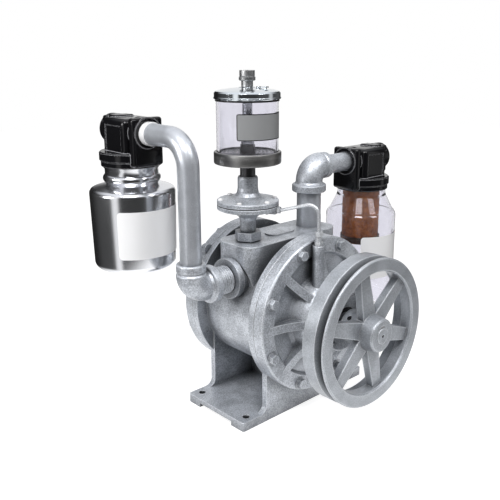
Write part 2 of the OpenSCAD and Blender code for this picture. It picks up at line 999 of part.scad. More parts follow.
// A bottle hung from its neck: the outside falls from the neck, the inside lies one wall in
module exhaust_flask() {
    wall = 2;
    top = neck_d;
    low = -flask_h;
    low_r = flask_r - 4;
    shoulder_r = 9;
    shoulder = [flask_r - shoulder_r, -43];
    color("#c9cbce")
        translate([exhaust_axis_x, flask_y, exhaust_head_z])
            rotate_extrude($fn = 128)
                polygon(concat(
                    [[neck_r - wall - 2, top], [neck_r, top], [neck_r, -2], [neck_r - 2, -4],
                     [neck_r - 2, -12]],
                    arc([neck_r - 6, -19], 7.5, 60, -50),
                    [[neck_r - 3.5, -29]],
                    arc(shoulder, shoulder_r, 78, 0),
                    [[low_r, low + 12]],
                    arc([low_r - 12, low + 12], 12, -10, -90),
                    [[0, low], [0, low + wall]],
                    arc([low_r - 12, low + 12], 12 - wall, -90, -10),
                    arc(shoulder, shoulder_r - wall, 0, 78),
                    [[neck_r - 5.5, -31], [neck_r - wall - 3, -24], [neck_r - wall - 2, -8]]
                ));
}

// Points along an arc from one angle to another
function arc(centre, r, from, to, steps = 8) =
    [for (i = [0 : steps])
        let (a = from + (to - from) * i / steps)
            [centre[0] + r * cos(a), centre[1] + r * sin(a)]];

module intake_jar() {
    wall = 3;
    top = neck_d;
    low = -jar_h;
    color("#dfe6e8", 0.4)
        translate([jar_x, 0, intake_head_z])
            rotate_extrude($fn = 128)
                polygon(concat(
                    [[neck_r - wall, top], [neck_r, top], [neck_r, -8], [neck_r + 1, -11]],
                    arc([jar_r - 14, -50], 14, 55, 0),
                    [[jar_r, low + 14]],
                    arc([jar_r - 12, low + 12], 12, 0, -90),
                    [[0, low], [0, low + 5]],
                    arc([jar_r - 12, low + 12], 12 - wall, -90, 0),
                    [[jar_r - wall, -50]],
                    arc([jar_r - 14, -50], 14 - wall, 0, 55),
                    [[neck_r - wall, -13]]
                ));
}

module filter_element(h) {
    difference() {
        cylinder(r = element_r, h = h);
        translate([0, 0, -1])
            cylinder(r = 22, h = h + 2);
    }
}

module intake_filter() {
    color("#8a4a22")
        translate([jar_x, 0, intake_head_z + neck_d - 0.2 - element_h])
            filter_element(element_h);
}

module exhaust_filter() {
    color("#7f8078")
        translate([exhaust_axis_x, flask_y, exhaust_head_z + neck_d - 0.2 - element_h])
            filter_element(element_h);
}

// The cups close the lower ends of the two elements
module filter_cup() {
    color("#c8b070")
        for (p = [[jar_x, 0, intake_head_z], [exhaust_axis_x, flask_y, exhaust_head_z]])
            translate(p)
                translate([0, 0, cup_low])
                    difference() {
                        cylinder(r = element_r + 2, h = cup_h + 4);
                        translate([0, 0, cup_h])
                            cylinder(r = element_r + 3 * slip, h = 5);
                        translate([0, 0, -1])
                            cylinder(r = rod_r + slip, h = cup_h + 2);
                    }
}

module filter_rod() {
    color(STEEL)
        for (p = [[jar_x, 0, intake_head_z], [exhaust_axis_x, flask_y, exhaust_head_z]])
            translate(p)
                translate([0, 0, cup_low]) {
                    cylinder(r = rod_r, h = element_h + cup_h + 22);
                    translate([0, 0, -6])
                        hex(11, 5.8);
                    translate([0, 0, -7])
                        cylinder(r = rod_r, h = 8);
                }
}

module intake_riser() {
    color(CAST)
        translate([riser_x, 0, duct_z - socket_d + 1])
            ring(pipe_r, port_r, intake_top - elbow_l - duct_z + 2 * socket_d - 2);
}

module intake_elbow() {
    color(CAST)
        translate([riser_x, 0, intake_top])
            elbow();
}

module intake_nipple() {
    color(STEEL)
        translate([0, 0, intake_top])
            pipe_x(
                small_pipe_r, riser_x + elbow_l - socket_d + 1, jar_x - head_half + socket_d - 1
            );
}

// Valve and oiler

module on_oiler_axis(z) {
    translate([-oiler_x, 0, z])
        children();
}

module hex_bushing() {
    color(STEEL)
        on_oiler_axis(duct_z + 2)
            difference() {
                union() {
                    hex(38, bushing_z - duct_z - 2);
                    translate([0, 0, -socket_d])
                        cylinder(r = bushing_r, h = socket_d + 1);
                }
                translate([0, 0, -socket_d - 1])
                    cylinder(r = 9, h = 60);
                translate([0, 0, bushing_z - duct_z - 2 - 10])
                    cylinder(r = valve_foot_r + slip, h = 11);
            }
}

module flange_screw_places() {
    for (i = [0 : 5])
        rotate([0, 0, 30 + 60 * i])
            translate([valve_r - 5.5, 0, 0])
                children();
}

module valve_body() {
    seat_z = valve_z - bushing_z;
    color(CAST)
        on_oiler_axis(bushing_z)
            difference() {
                union() {
                    rotate_extrude()
                        polygon([
                            [0, -9], [valve_foot_r, -9], [valve_foot_r, 0],
                            [valve_foot_r + 0.6, 0.6], [valve_foot_r + 0.6, seat_z - 20],
                            [15, seat_z - 14], [21, seat_z - 9], [34, seat_z - 4],
                            [valve_r - 3, seat_z - 1.5], [valve_r, seat_z],
                            [valve_r, seat_z + body_rim_t], [0, seat_z + body_rim_t]
                        ]);
                    rotate([0, 0, tube_fit_angle])
                        translate([valve_r - 16, -7, seat_z - 6])
                            cube([15, 14, 10]);
                }
                translate([0, 0, -10])
                    cylinder(r = 5, h = 60);
                translate([0, 0, seat_z + 1])
                    cylinder(r = 36, h = 10);
                rotate([0, 0, tube_fit_angle])
                    translate([20, 0, tube_z - bushing_z])
                        rotate([0, 90, 0])
                            cylinder(r = 1.6, h = 40);
                rotate([0, 0, tube_fit_angle])
                    translate([valve_r - 8, 0, tube_z - bushing_z])
                        rotate([0, 90, 0])
                            cylinder(r = valve_fitting_r + slip, h = 9);
                flange_screw_places()
                    translate([0, 0, seat_z - 3])
                        cylinder(r = flange_screw_r + slip, h = 12);
            }
}

module valve_diaphragm() {
    color("#2a2a28")
        on_oiler_axis(valve_z + body_rim_t)
            difference() {
                cylinder(r = valve_r - 0.6, h = diaphragm_t);
                translate([0, 0, -1])
                    cylinder(r = stem_r + slip, h = 5);
                flange_screw_places()
                    translate([0, 0, -1])
                        cylinder(r = flange_screw_r + slip, h = 5);
            }
}

module valve_bonnet() {
    color(CAST)
        on_oiler_axis(bonnet_z)
            difference() {
                rotate_extrude()
                    polygon([
                        [0, 0], [valve_r, 0], [valve_r, 6], [valve_r - 1, 7], [valve_r - 11.5, 7],
                        [28, 10], [21, 13], [17.4, 18.5], [16.2, 26], [16.2, bonnet_h - 3],
                        [14.8, bonnet_h], [0, bonnet_h]
                    ]);
                translate([0, 0, -1])
                    cylinder(r = 34, h = 5.2);
                translate([0, 0, 3])
                    cylinder(r = 9, h = 23);
                translate([0, 0, 3])
                    cylinder(r = 3.2, h = bonnet_h);
                translate([0, 0, bonnet_h - 12])
                    cylinder(r = neck_pipe_r + slip, h = 13);
                flange_screw_places()
                    translate([0, 0, -1])
                        cylinder(r = flange_screw_r + slip, h = 12);
            }
}

module valve_screws() {
    color(STEEL)
        on_oiler_axis(bonnet_z)
            flange_screw_places() {
                difference() {
                    translate([0, 0, 7.05])
                        rotate_extrude($fn = 32)
                            polygon([[0, 0], [4, 0], [4, 1.6], [2.6, 2.8], [0, 3]]);
                    translate([-5, -0.5, 9])
                        cube([10, 1, 3]);
                }
                translate([0, 0, -11])
                    cylinder(r = flange_screw_r, h = 19);
            }
}

// The stem carries a plate under the diaphragm and closes the oil way with its tip
module valve_stem() {
    color(STEEL)
        on_oiler_axis(stem_low) {
            cylinder(r = stem_plate_r, h = 1.5);
            cylinder(r = stem_r, h = bonnet_z - stem_low + 26);
            translate([0, 0, bonnet_z - stem_low + 4.4])
                cylinder(r = 7.6, h = 1.5);
        }
}

module valve_spring() {
    turns = 4;
    wire = 0.7;
    z0 = bonnet_z + 6.2;
    z1 = bonnet_z + 25.5;
    steps = turns * 16;
    sides = 6;
    color(STEEL)
        on_oiler_axis(0)
            polyhedron(
                points = [for (i = [0 : steps], j = [0 : sides - 1])
                    let (a = 360 * turns * i / steps,
                         z = z0 + wire + (z1 - z0 - 2 * wire) * i / steps,
                         b = 360 * j / sides,
                         r = spring_r + wire * cos(b))
                        [r * cos(a), r * sin(a), z + wire * sin(b)]],
                faces = tube_faces(steps, sides)
            );
}

// The oil tube lies in the upright plane through the valve's axis and the cover's oil boss:
// level out of the valve, up a slope, over a bend, and down into the cover's fitting

// The tube's own plane: x runs from the valve's axis towards the cover boss, z is up
module tube_plane() {
    translate([-oiler_x, 0, 0])
        rotate([0, 0, tube_fit_angle])
            children();
}

module oil_tube() {
    sides = 12;
    last = len(tube_line) - 1;
    color("#c4c7ca")
        tube_plane()
            polyhedron(
                points = [for (p = tube_line, j = [0 : sides - 1])
                    let (b = 360 * j / sides, u = tube_r * cos(b))
                        [p[0] - u * sin(p[2]), tube_r * sin(b), p[1] + u * cos(p[2])]],
                faces = tube_faces(last, sides)
            );
}

// Faces of a tube that is given ring by ring
function tube_faces(last, sides) = concat(
    [[for (j = [0 : sides - 1]) j]],
    [for (i = [0 : last - 1], j = [0 : sides - 1])
        let (k = (j + 1) % sides)
            [i * sides + k, i * sides + j, (i + 1) * sides + j]],
    [for (i = [0 : last - 1], j = [0 : sides - 1])
        let (k = (j + 1) % sides)
            [i * sides + k, (i + 1) * sides + j, (i + 1) * sides + k]],
    [[for (j = [sides - 1 : -1 : 0]) last * sides + j]]
);

module valve_tube_fitting() {
    color(STEEL)
        tube_plane()
            translate([valve_r - 7.5, 0, tube_z])
                rotate([0, 90, 0])
                    difference() {
                        union() {
                            cylinder(r = valve_fitting_r, h = 7.6);
                            translate([0, 0, 7.6])
                                hex(10, 5);
                        }
                        translate([0, 0, -1])
                            cylinder(r = 1.5, h = 20);
                        translate([0, 0, 7.8])
                            cylinder(r = tube_r + slip, h = 12);
                    }
}

module cover_tube_fitting() {
    color(STEEL)
        translate([-oil_boss_x, oil_boss_y, oil_boss_top])
            difference() {
                union() {
                    translate([0, 0, -8.5])
                        cylinder(r = fitting_r, h = 9);
                    hex(13, 6);
                    translate([0, 0, 6])
                        cylinder(r = 5, h = tube_seat_h - 6);
                    translate([0, 0, tube_seat_h])
                        hex(12, tube_nut_h - tube_seat_h);
                }
                translate([0, 0, -9])
                    cylinder(r = 1.5, h = 30);
                translate([0, 0, tube_seat_h])
                    cylinder(r = tube_r + slip, h = 12);
            }
}

module oiler_nipple() {
    color(DARK)
        on_oiler_axis(bonnet_top - 11.5)
            ring(neck_pipe_r, 8, base_z - bonnet_top + 11.5 + 6);
}

module oiler_base() {
    color(DARK)
        on_oiler_axis(base_z)
            difference() {
                rotate_extrude($fn = 96)
                    polygon([
                        [0, 0], [16, 0], [17, 2.5], [cap_r - 6, 4.5], [cap_r + 1, 6],
                        [cap_r + 1.6, 8], [cap_r + 1.6, 11.5], [cap_r + 0.6, base_h],
                        [0, base_h]
                    ]);
                translate([0, 0, -1])
                    cylinder(r = neck_pipe_r + slip, h = 7.2);
                translate([0, 0, -1])
                    cylinder(r = 6, h = 30);
            }
}

module oiler_gaskets() {
    color(BLACK)
        for (z = [glass_z - gasket_h, glass_z + glass_h])
            on_oiler_axis(z)
                ring(glass_r + 1.2, glass_r - 5, gasket_h);
}

module oiler_glass() {
    color("#e6ecec", 0.35)
        on_oiler_axis(glass_z)
            ring(glass_r, glass_r - 3.5, glass_h);
}

// The centre tube clamps cap, glass and base together and guides the needle
module oiler_tube() {
    z0 = base_z + base_h;
    color(STEEL)
        on_oiler_axis(z0)
            difference() {
                union() {
                    cylinder(r = 10.3, h = 18);
                    cylinder(r = centre_tube_r, h = cap_z - z0 + 4);
                    cylinder(r = centre_screw_r, h = cap_top + 4 - z0);
                }
                translate([0, 0, -1])
                    cylinder(r = 1.2, h = 5);
                translate([0, 0, 3])
                    cylinder(r = needle_r + 0.7, h = 200);
                translate([-15, 0, 7])
                    rotate([0, 90, 0])
                        cylinder(r = 2, h = 30);
            }
}

module oiler_cap() {
    color("#d4d6d8")
        on_oiler_axis(cap_z)
            difference() {
                rotate_extrude($fn = 96)
                    polygon([
                        [0, 0], [cap_r, 0], [cap_r + 0.8, 1], [cap_r + 0.8, 2.5], [cap_r, 3.5],
                        [cap_r, 9.5], [cap_r - 2, 11.8], [cap_r - 8, 13.4], [fill_post_r, 15.4],
                        [14, 17], [12, cap_h], [0, cap_h]
                    ]);
                translate([0, 0, -1])
                    cylinder(r = centre_tube_r + slip, h = 5.2);
                translate([0, 0, -1])
                    cylinder(r = centre_screw_r + slip, h = 20);
                rotate([0, 0, fill_angle])
                    translate([fill_hole_r, 0, -1])
                        cylinder(r = 3, h = cap_h + 2);
                rotate([0, 0, fill_angle])
                    translate([fill_post_r, 0, 8])
                        cylinder(r = fill_pin_r + run, h = 12);
            }
}

// A flat cover that swings aside on its post to open the filling hole
module fill_cover() {
    color(STEEL)
        on_oiler_axis(cap_z)
            rotate([0, 0, fill_angle]) {
                translate([fill_post_r, 0, 9])
                    cylinder(r = fill_pin_r, h = cap_h - 8);
                translate([0, 0, cap_h - 0.9]) {
                    translate([fill_post_r, 0, 0])
                        cylinder(r = 4.5, h = 2);
                    translate([fill_hole_r + 0.5, 0, 0])
                        cylinder(r = 5.5, h = 2);
                    translate([fill_hole_r + 0.5, -4.5, 0])
                        cube([fill_post_r - fill_hole_r - 0.5, 9, 2]);
                }
            }
}

module knob_collar() {
    color(STEEL)
        on_oiler_axis(cap_top + 0.2)
            difference() {
                union() {
                    cylinder(r = 9, h = 9);
                    translate([0, 0, 9])
                        cylinder(r = 12.8, h = 6.6);
                }
                translate([0, 0, -1])
                    cylinder(r = centre_screw_r + slip, h = 20);
            }
}

module feed_knob() {
    color("#c9cbcd")
        on_oiler_axis(knob_z)
            difference() {
                cylinder(r = 11.8, h = knob_h);
                translate([0, 0, -1])
                    cylinder(r = needle_r + run, h = 20);
            }
}

module feed_needle() {
    z0 = base_z + base_h + 4.5;
    color(STEEL)
        on_oiler_axis(z0) {
            cylinder(r1 = 0.6, r2 = needle_r, h = 6);
            translate([0, 0, 6])
                cylinder(r = needle_r, h = knob_z + knob_h + 0.5 - z0 - 6);
        }
}

pump_housing();
front_gasket();
rear_gasket();
front_end_cover();
rear_end_cover();
front_cover_bolts();
rear_cover_bolts();
rotor();
rotor_shaft();
vane_1();
vane_2();
vane_3();
vane_4();
front_bearing();
rear_bearing();
front_oil_seal();
front_bearing_cap();
rear_bearing_cap();
bearing_cap_screws();
drive_pulley();
pulley_key();
pulley_set_screw();
exhaust_nipple();
exhaust_elbow();
exhaust_pipe();
exhaust_ferrule();
exhaust_head();
exhaust_flask();
flask_gasket();
exhaust_filter();
intake_riser();
intake_elbow();
intake_nipple();
intake_head();
intake_jar();
jar_gasket();
intake_filter();
filter_cup();
filter_rod();
hex_bushing();
valve_body();
valve_diaphragm();
valve_stem();
valve_spring();
valve_bonnet();
valve_screws();
oil_tube();
valve_tube_fitting();
cover_tube_fitting();
oiler_nipple();
oiler_base();
oiler_gaskets();
oiler_glass();
oiler_tube();
oiler_cap();
fill_cover();
feed_knob();
knob_collar();
feed_needle();
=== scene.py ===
"""A belt-driven rotary vane vacuum pump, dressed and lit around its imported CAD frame."""

import json
import logging
import math
from contextlib import contextmanager
from dataclasses import dataclass
from enum import Enum
from functools import cache
from typing import Callable, Iterator, Sequence

import bmesh
import bpy
from mathutils import Euler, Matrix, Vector


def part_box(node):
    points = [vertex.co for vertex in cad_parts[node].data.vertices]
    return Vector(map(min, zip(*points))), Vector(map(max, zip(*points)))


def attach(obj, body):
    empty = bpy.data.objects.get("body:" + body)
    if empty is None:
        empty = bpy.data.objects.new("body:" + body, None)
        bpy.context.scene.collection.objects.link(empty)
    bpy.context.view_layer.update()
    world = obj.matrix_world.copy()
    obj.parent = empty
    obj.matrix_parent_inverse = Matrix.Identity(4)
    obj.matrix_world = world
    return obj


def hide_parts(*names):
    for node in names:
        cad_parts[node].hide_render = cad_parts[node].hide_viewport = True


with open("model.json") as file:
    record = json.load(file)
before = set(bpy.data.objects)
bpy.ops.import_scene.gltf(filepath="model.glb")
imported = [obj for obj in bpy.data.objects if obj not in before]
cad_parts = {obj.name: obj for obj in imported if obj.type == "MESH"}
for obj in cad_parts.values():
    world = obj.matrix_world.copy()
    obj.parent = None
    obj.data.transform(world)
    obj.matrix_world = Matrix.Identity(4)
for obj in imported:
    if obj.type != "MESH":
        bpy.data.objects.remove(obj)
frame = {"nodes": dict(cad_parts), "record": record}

LOG = logging.getLogger("vacuum_pump")
MM = 0.001
Point = tuple[float, float, float]
Pair = tuple[float, float]
Colour = tuple[float, float, float]
Settings = dict[str, object]
Inputs = dict[str | int, object]
Piece = bpy.types.Object
Socket = bpy.types.NodeSocket


def mm(*lengths: float) -> tuple[float, ...]:
    """Return lengths in millimetres as metres."""
    return tuple(length * MM for length in lengths)


def section(*loops: Pair) -> list[Pair]:
    """Return the loops of a turned profile, given as radius and height in millimetres."""
    return [mm(*loop) for loop in loops]


class Slot(str, Enum):
    """The record's material slots."""

    CAST_PAINT = "cast_paint"
    PIPE_PAINT = "pipe_paint"
    ZINC_STEEL = "zinc_steel"
    BARE_STEEL = "bare_steel"
    DARK_STEEL = "dark_steel"
    CHROME = "chrome"
    BLACK_ENAMEL = "black_enamel"
    POLISHED_ALUMINIUM = "polished_aluminium"
    CLEAR_GLASS = "clear_glass"
    BROWN_ELEMENT = "brown_element"
    GREY_ELEMENT = "grey_element"
    BRASS = "brass"
    GASKET = "gasket"
    GASKET_FIBRE = "gasket_fibre"
    VANE_FIBRE = "vane_fibre"
    COPPER_TUBE = "copper_tube"


class Val:
    """A node socket that carries a number, on which Python's operators add Math nodes."""

    def __init__(self, net: "Net", socket: Socket) -> None:
        """Wrap an output socket of a network."""
        self.net = net
        self.socket = socket

    def _math(self, operation: str, first: object, second: object) -> "Val":
        """Add one Math node on two values and wrap its result."""
        return self.net.value("ShaderNodeMath", {"operation": operation}, {0: first, 1: second})

    def __add__(self, other: object) -> "Val":
        """Return self + other."""
        return self._math("ADD", self, other)

    __radd__ = __add__

    def __mul__(self, other: object) -> "Val":
        """Return self * other."""
        return self._math("MULTIPLY", self, other)

    __rmul__ = __mul__

    def __sub__(self, other: object) -> "Val":
        """Return self - other."""
        return self._math("SUBTRACT", self, other)

    def __rsub__(self, other: object) -> "Val":
        """Return other - self."""
        return self._math("SUBTRACT", other, self)

    def highest(self, other: object) -> "Val":
        """Return the higher of two values."""
        return self._math("MAXIMUM", self, other)

    def around(self, middle: float, width: float = 0.1) -> "Val":
        """Return a pattern of 0 to 1 spread evenly about a middle, over a width."""
        return self * width + (middle - width / 2)


class Net:
    """A node network under construction."""

    bevel_samples = 4
    flat = 0.995
    sharp = 0.86

    def __init__(self, tree: bpy.types.NodeTree) -> None:
        """Start a network on a node tree, which is emptied."""
        self.tree = tree
        tree.nodes.clear()

    def feed(self, socket: Socket, value: object) -> None:
        """Link or set one input socket.

        Args:
            socket: The input socket.
            value: A number, a colour, a vector, a socket or a wrapped socket.
        """
        if isinstance(value, Val):
            value = value.socket
        if isinstance(value, Socket):
            self.tree.links.new(value, socket)
        elif socket.type == "RGBA" and len(value) == 3:
            socket.default_value = (*value, 1.0)
        else:
            socket.default_value = value

    def node(self, kind: str, settings: Settings | None = None,
             inputs: Inputs | None = None) -> bpy.types.Node:
        """Add one node: its settings first, then its sockets.

        Args:
            kind: The node's type.
            settings: The node's own properties; "stops" holds a ramp's places and colours.
            inputs: Values, sockets or wrapped sockets, by socket name or number.

        Returns:
            The node.
        """
        made = self.tree.nodes.new(kind)
        for key, value in (settings or {}).items():
            if key == "stops":
                self._stops(made.color_ramp, value)
            else:
                setattr(made, key, value)
        for key, value in (inputs or {}).items():
            self.feed(made.inputs[key], value)
        return made

    @staticmethod
    def _stops(ramp: bpy.types.ColorRamp, stops: Sequence[tuple[float, object]]) -> None:
        """Fill a ramp.

        Args:
            ramp: The ramp.
            stops: Places from 0 to 1, each with a grey level or a colour.
        """
        while len(ramp.elements) < len(stops):
            ramp.elements.new(1.0)
        for element, (place, colour) in zip(ramp.elements, stops):
            element.position = place
            rgb = (colour,) * 3 if isinstance(colour, (int, float)) else colour
            element.color = (*rgb, 1.0)

    def value(self, kind: str, settings: Settings | None = None, inputs: Inputs | None = None,
              out: str | int = 0) -> Val:
        """Add a node as node() does, and wrap one of its outputs, by name or number."""
        return Val(self, self.node(kind, settings, inputs).outputs[out])

    def place(self) -> Socket:
        """Return the Object coordinates."""
        return self.node("ShaderNodeTexCoord").outputs["Object"]

    def rounded(self, radius: float) -> Socket:
        """Return the normal as if sharp edges were rounded by a radius in metres."""
        return self.node("ShaderNodeBevel", {"samples": self.bevel_samples},
                         {"Radius": radius}).outputs[0]

    def noise(self, size: float, detail: float = 3.0, stretch: Point = (1.0, 1.0, 1.0),
              rough: float = 0.5) -> Val:
        """Return noise of about 0 to 1, whose features have a size in metres, drawn out by axis."""
        mapped = self.node("ShaderNodeMapping", {"vector_type": "POINT"}, {
            "Vector": self.place(), "Scale": tuple(1.0 / s for s in stretch)})
        return self.value("ShaderNodeTexNoise", None, {
            "Vector": mapped.outputs[0], "Scale": 1.0 / size, "Detail": detail,
            "Roughness": rough}, "Fac")

    def rise(self, value: object, span: Pair, way: str = "LINEAR") -> Val:
        """Return a share that runs from 0 to 1 along a span of values."""
        return self.value("ShaderNodeMapRange", {"interpolation_type": way}, {
            "Value": value, "From Min": span[0], "From Max": span[1]})

    def edges(self, radius: float) -> Val:
        """Return 1 on sharp edges and 0 on plain faces.

        Args:
            radius: The width of an edge in metres.

        Returns:
            The share.
        """
        plain = self.node("ShaderNodeNewGeometry").outputs["Normal"]
        alike = self.value("ShaderNodeVectorMath", {"operation": "DOT_PRODUCT"},
                           {0: self.rounded(radius), 1: plain}, "Value")
        return self.rise(alike, (self.flat, self.sharp))

    def blend(self, share: object, low: object, high: object) -> Socket:
        """Mix two colours, by the share of the second."""
        sockets = {0: share, 6: low, 7: high}
        return self.node("ShaderNodeMix", {"data_type": "RGBA"}, sockets).outputs[2]

    def ramp(self, value: object, stops: Sequence[tuple[float, object]]) -> Socket:
        """Turn a value into a colour, by a ramp's places and colours."""
        return self.node("ShaderNodeValToRGB", {"stops": stops}, {"Fac": value}).outputs["Color"]


class Material:
    """One material: a Principled shader and what feeds it."""

    def __init__(self, name: str) -> None:
        """Start the material by its name."""
        self.data = bpy.data.materials.new(name)
        self.data.use_nodes = True
        self.net = Net(self.data.node_tree)
        self.shader = self.net.node("ShaderNodeBsdfPrincipled")
        self.net.node("ShaderNodeOutputMaterial", None, {"Surface": self.shader.outputs[0]})

    def set(self, **values: object) -> None:
        """Set or link the shader's sockets.

        Args:
            **values: Socket values, by the socket's name in small letters with underscores.
        """
        names = {s.name.lower().replace(" ", "_"): s for s in self.shader.inputs}
        for key, value in values.items():
            self.net.feed(names[key], value)

    def relief(self, height: Val, depth: float, edge: float = 0.0) -> None:
        """Raise the surface by a height pattern, and soften the piece's edges.

        Args:
            height: The pattern, about 0 to 1.
            depth: Its depth in metres.
            edge: The radius by which sharp edges look rounded, in metres.
        """
        inputs: Inputs = {"Height": height, "Distance": depth, "Strength": 1.0}
        if edge:
            inputs["Normal"] = self.net.rounded(edge)
        self.set(normal=self.net.node("ShaderNodeBump", None, inputs).outputs[0])


@dataclass(frozen=True)
class Finish:
    """A named finish; each kind paints a material in its own way."""

    name: str

    def paint(self, made: Material) -> None:
        """Set the sockets of a new material."""
        raise NotImplementedError

    @cache
    def make(self) -> bpy.types.Material:
        """Make the finish's material, once.

        Returns:
            The material.
        """
        made = Material(self.name)
        self.paint(made)
        return made.data


@dataclass(frozen=True)
class Enamel(Finish):
    """Silver-grey enamel with aluminium flake, over a casting or a pipe."""

    colour: Colour = (0.66, 0.69, 0.74)
    shade: Colour = (0.34, 0.36, 0.395)
    grain: float = 1.8 * MM
    grain_depth: float = 0.26 * MM
    roughness: float = 0.42
    metallic: float = 0.55
    edge: float = 2.2 * MM
    flake: float = 2.1 * MM
    # Painted shade: how far the ambient occlusion looks for nearby surfaces that darken the coat.
    painted_shade_reach: float = 40 * MM
    # Painted highlight colour laid on sharp edges, and how far it reaches as a share of the edge
    # radius.
    painted_edge_highlight: Colour = (0.84, 0.87, 0.92)
    edge_highlight_reach: float = 1.2
    cloud: float = 26 * MM
    cloud_share: float = 0.35
    coat_steps: Pair = (0.42, 0.58)
    # The occlusion span over which the painted shade fades in, its samples, and the painted shade's
    # level as a share of the shade colour.
    open_sky: Pair = (0.24, 0.90)
    sky_samples: int = 8
    painted_shade_level: float = 0.16
    gloss_spread: float = 0.14
    coat: float = 0.12
    coat_roughness: float = 0.3
    pit_size: float = 3.0
    grain_share: float = 0.6
    pit_share: float = 0.9

    def paint(self, made: Material) -> None:
        """Lay flake over cast grain, paint highlights on sharp edges, and paint shade into hollows.
        """
        net = made.net
        cloud = net.noise(self.cloud, 2.0)
        flake = net.noise(self.flake, 2.0, rough=0.75)
        grain = net.noise(self.grain, 4.0, rough=0.62)
        pits = net.noise(self.grain * self.pit_size, 2.0)
        tone = cloud * self.cloud_share + flake * (1.0 - self.cloud_share)
        coat = net.ramp(tone, list(zip(self.coat_steps, (self.shade, self.colour))))
        # Painted highlight: sharp edges lightened towards a pale colour.
        coat = net.blend(net.edges(self.edge_highlight_reach * self.edge), coat, self.painted_edge_highlight)
        # Painted shade: the coat darkens towards a dark colour where ambient occlusion finds nearby
        # surfaces.
        sky = net.value("ShaderNodeAmbientOcclusion", {"samples": self.sky_samples},
                        {"Distance": self.painted_shade_reach}, "AO")
        painted_shade = 1.0 - net.rise(sky, self.open_sky)
        dark = tuple(self.painted_shade_level * c for c in self.shade)
        made.set(base_color=net.blend(painted_shade, coat, dark), metallic=self.metallic,
                 roughness=flake.around(self.roughness, self.gloss_spread),
                 coat_weight=self.coat, coat_roughness=self.coat_roughness)
        made.relief(grain * self.grain_share + pits * self.pit_share, self.grain_depth, self.edge)


@dataclass(frozen=True)
class Steel(Finish):
    """A bare or plated metal with a fine lay of tool marks."""

    colour: Colour
    roughness: float = 0.28
    lay: Point = (1.0, 1.0, 1.0)
    mark: float = 0.8 * MM
    depth: float = 0.012 * MM
    stain: float = 0.25
    edge: float = 0.0
    patch: float = 9 * MM

    def paint(self, made: Material) -> None:
        """Lay tool marks in the roughness and dull patches in the colour."""
        net = made.net
        marks = net.noise(self.mark, 3.0, self.lay, 0.6)
        patches = net.noise(self.patch)
        dull = tuple(c * (1.0 - self.stain) for c in self.colour)
        made.set(base_color=net.blend(patches, dull, self.colour), metallic=1.0,
                 roughness=marks.around(self.roughness))
        made.relief(marks, self.depth, self.edge)


@dataclass(frozen=True)
class Gloss(Finish):
    """A thick black gloss coat over a cast head, with painted highlights on its edges."""

    colour: Colour = (0.003, 0.003, 0.004)
    # Painted highlight colour laid on sharp edges.
    painted_edge_highlight: Colour = (0.34, 0.34, 0.36)
    dust_lift: float = 0.003
    roughness: float = 0.12
    gloss_spread: float = 0.06
    shine: float = 0.34
    edge: float = 1.2 * MM
    edge_highlight_reach: float = 1.3
    peel: float = 3.5 * MM
    peel_depth: float = 0.05 * MM
    dust: float = 0.7 * MM

    def paint(self, made: Material) -> None:
        """Lay orange-peel waves in the coat, dust in its colour, and painted highlights on its
        sharp edges.
        """
        net = made.net
        peel = net.noise(self.peel, 2.0)
        dust = net.noise(self.dust, 2.0, rough=0.7)
        dusty = tuple(c + self.dust_lift for c in self.colour)
        coat = net.blend(dust, self.colour, dusty)
        # Base colour: the dusty coat, lightened on sharp edges as a painted highlight.
        made.set(base_color=net.blend(net.edges(self.edge_highlight_reach * self.edge), coat, self.painted_edge_highlight),
                 roughness=dust.around(self.roughness, self.gloss_spread),
                 specular_ior_level=self.shine)
        made.relief(peel, self.peel_depth, self.edge)


@dataclass(frozen=True)
class Glass(Finish):
    """Clear pressed glass."""

    colour: Colour = (0.86, 0.855, 0.905)
    ior: float = 1.45
    wave: float = 22 * MM
    wave_depth: float = 0.02 * MM

    def paint(self, made: Material) -> None:
        """Make the material clear, with the faint waves of pressed glass."""
        made.set(base_color=self.colour, roughness=0.0, transmission_weight=1.0, ior=self.ior)
        made.relief(made.net.noise(self.wave, 1.0), self.wave_depth)


@dataclass(frozen=True)
class Matted(Finish):
    """Matted fibre, coarse and dull."""

    light: Colour
    dark: Colour
    fibre: float = 1.3 * MM
    depth: float = 0.7 * MM
    stretch: Point = (2.2, 2.2, 0.8)
    clump: float = 7 * MM
    clump_share: float = 0.4
    tone_steps: Pair = (0.34, 0.66)
    roughness: float = 0.9
    sheen: float = 0.15

    def paint(self, made: Material) -> None:
        """Lay fibres round the element, with darker hollows."""
        net = made.net
        fibres = net.noise(self.fibre, 4.0, self.stretch, 0.7)
        clumps = net.noise(self.clump)
        tone = fibres * (1.0 - self.clump_share) + clumps * self.clump_share
        made.set(base_color=net.ramp(tone, list(zip(self.tone_steps, (self.dark, self.light)))),
                 roughness=clumps.around(self.roughness),
                 sheen_weight=self.sheen)
        made.relief(fibres, self.depth)


@dataclass(frozen=True)
class Plain(Finish):
    """A smooth surface such as rubber, fibre sheet, plating or a label's film."""

    colour: Colour
    roughness: float = 0.6
    mottle: float = 0.12
    grain: float = 1.2 * MM
    grain_depth: float = 0.02 * MM
    coat: float = 0.0

    def paint(self, made: Material) -> None:
        """Lay a faint mottle in the colour and grain in the surface."""
        net = made.net
        spots = net.noise(self.grain)
        low = tuple(c * (1.0 - self.mottle) for c in self.colour)
        made.set(base_color=net.blend(spots, low, self.colour),
                 roughness=spots.around(self.roughness),
                 coat_weight=self.coat)
        made.relief(spots, self.grain_depth)


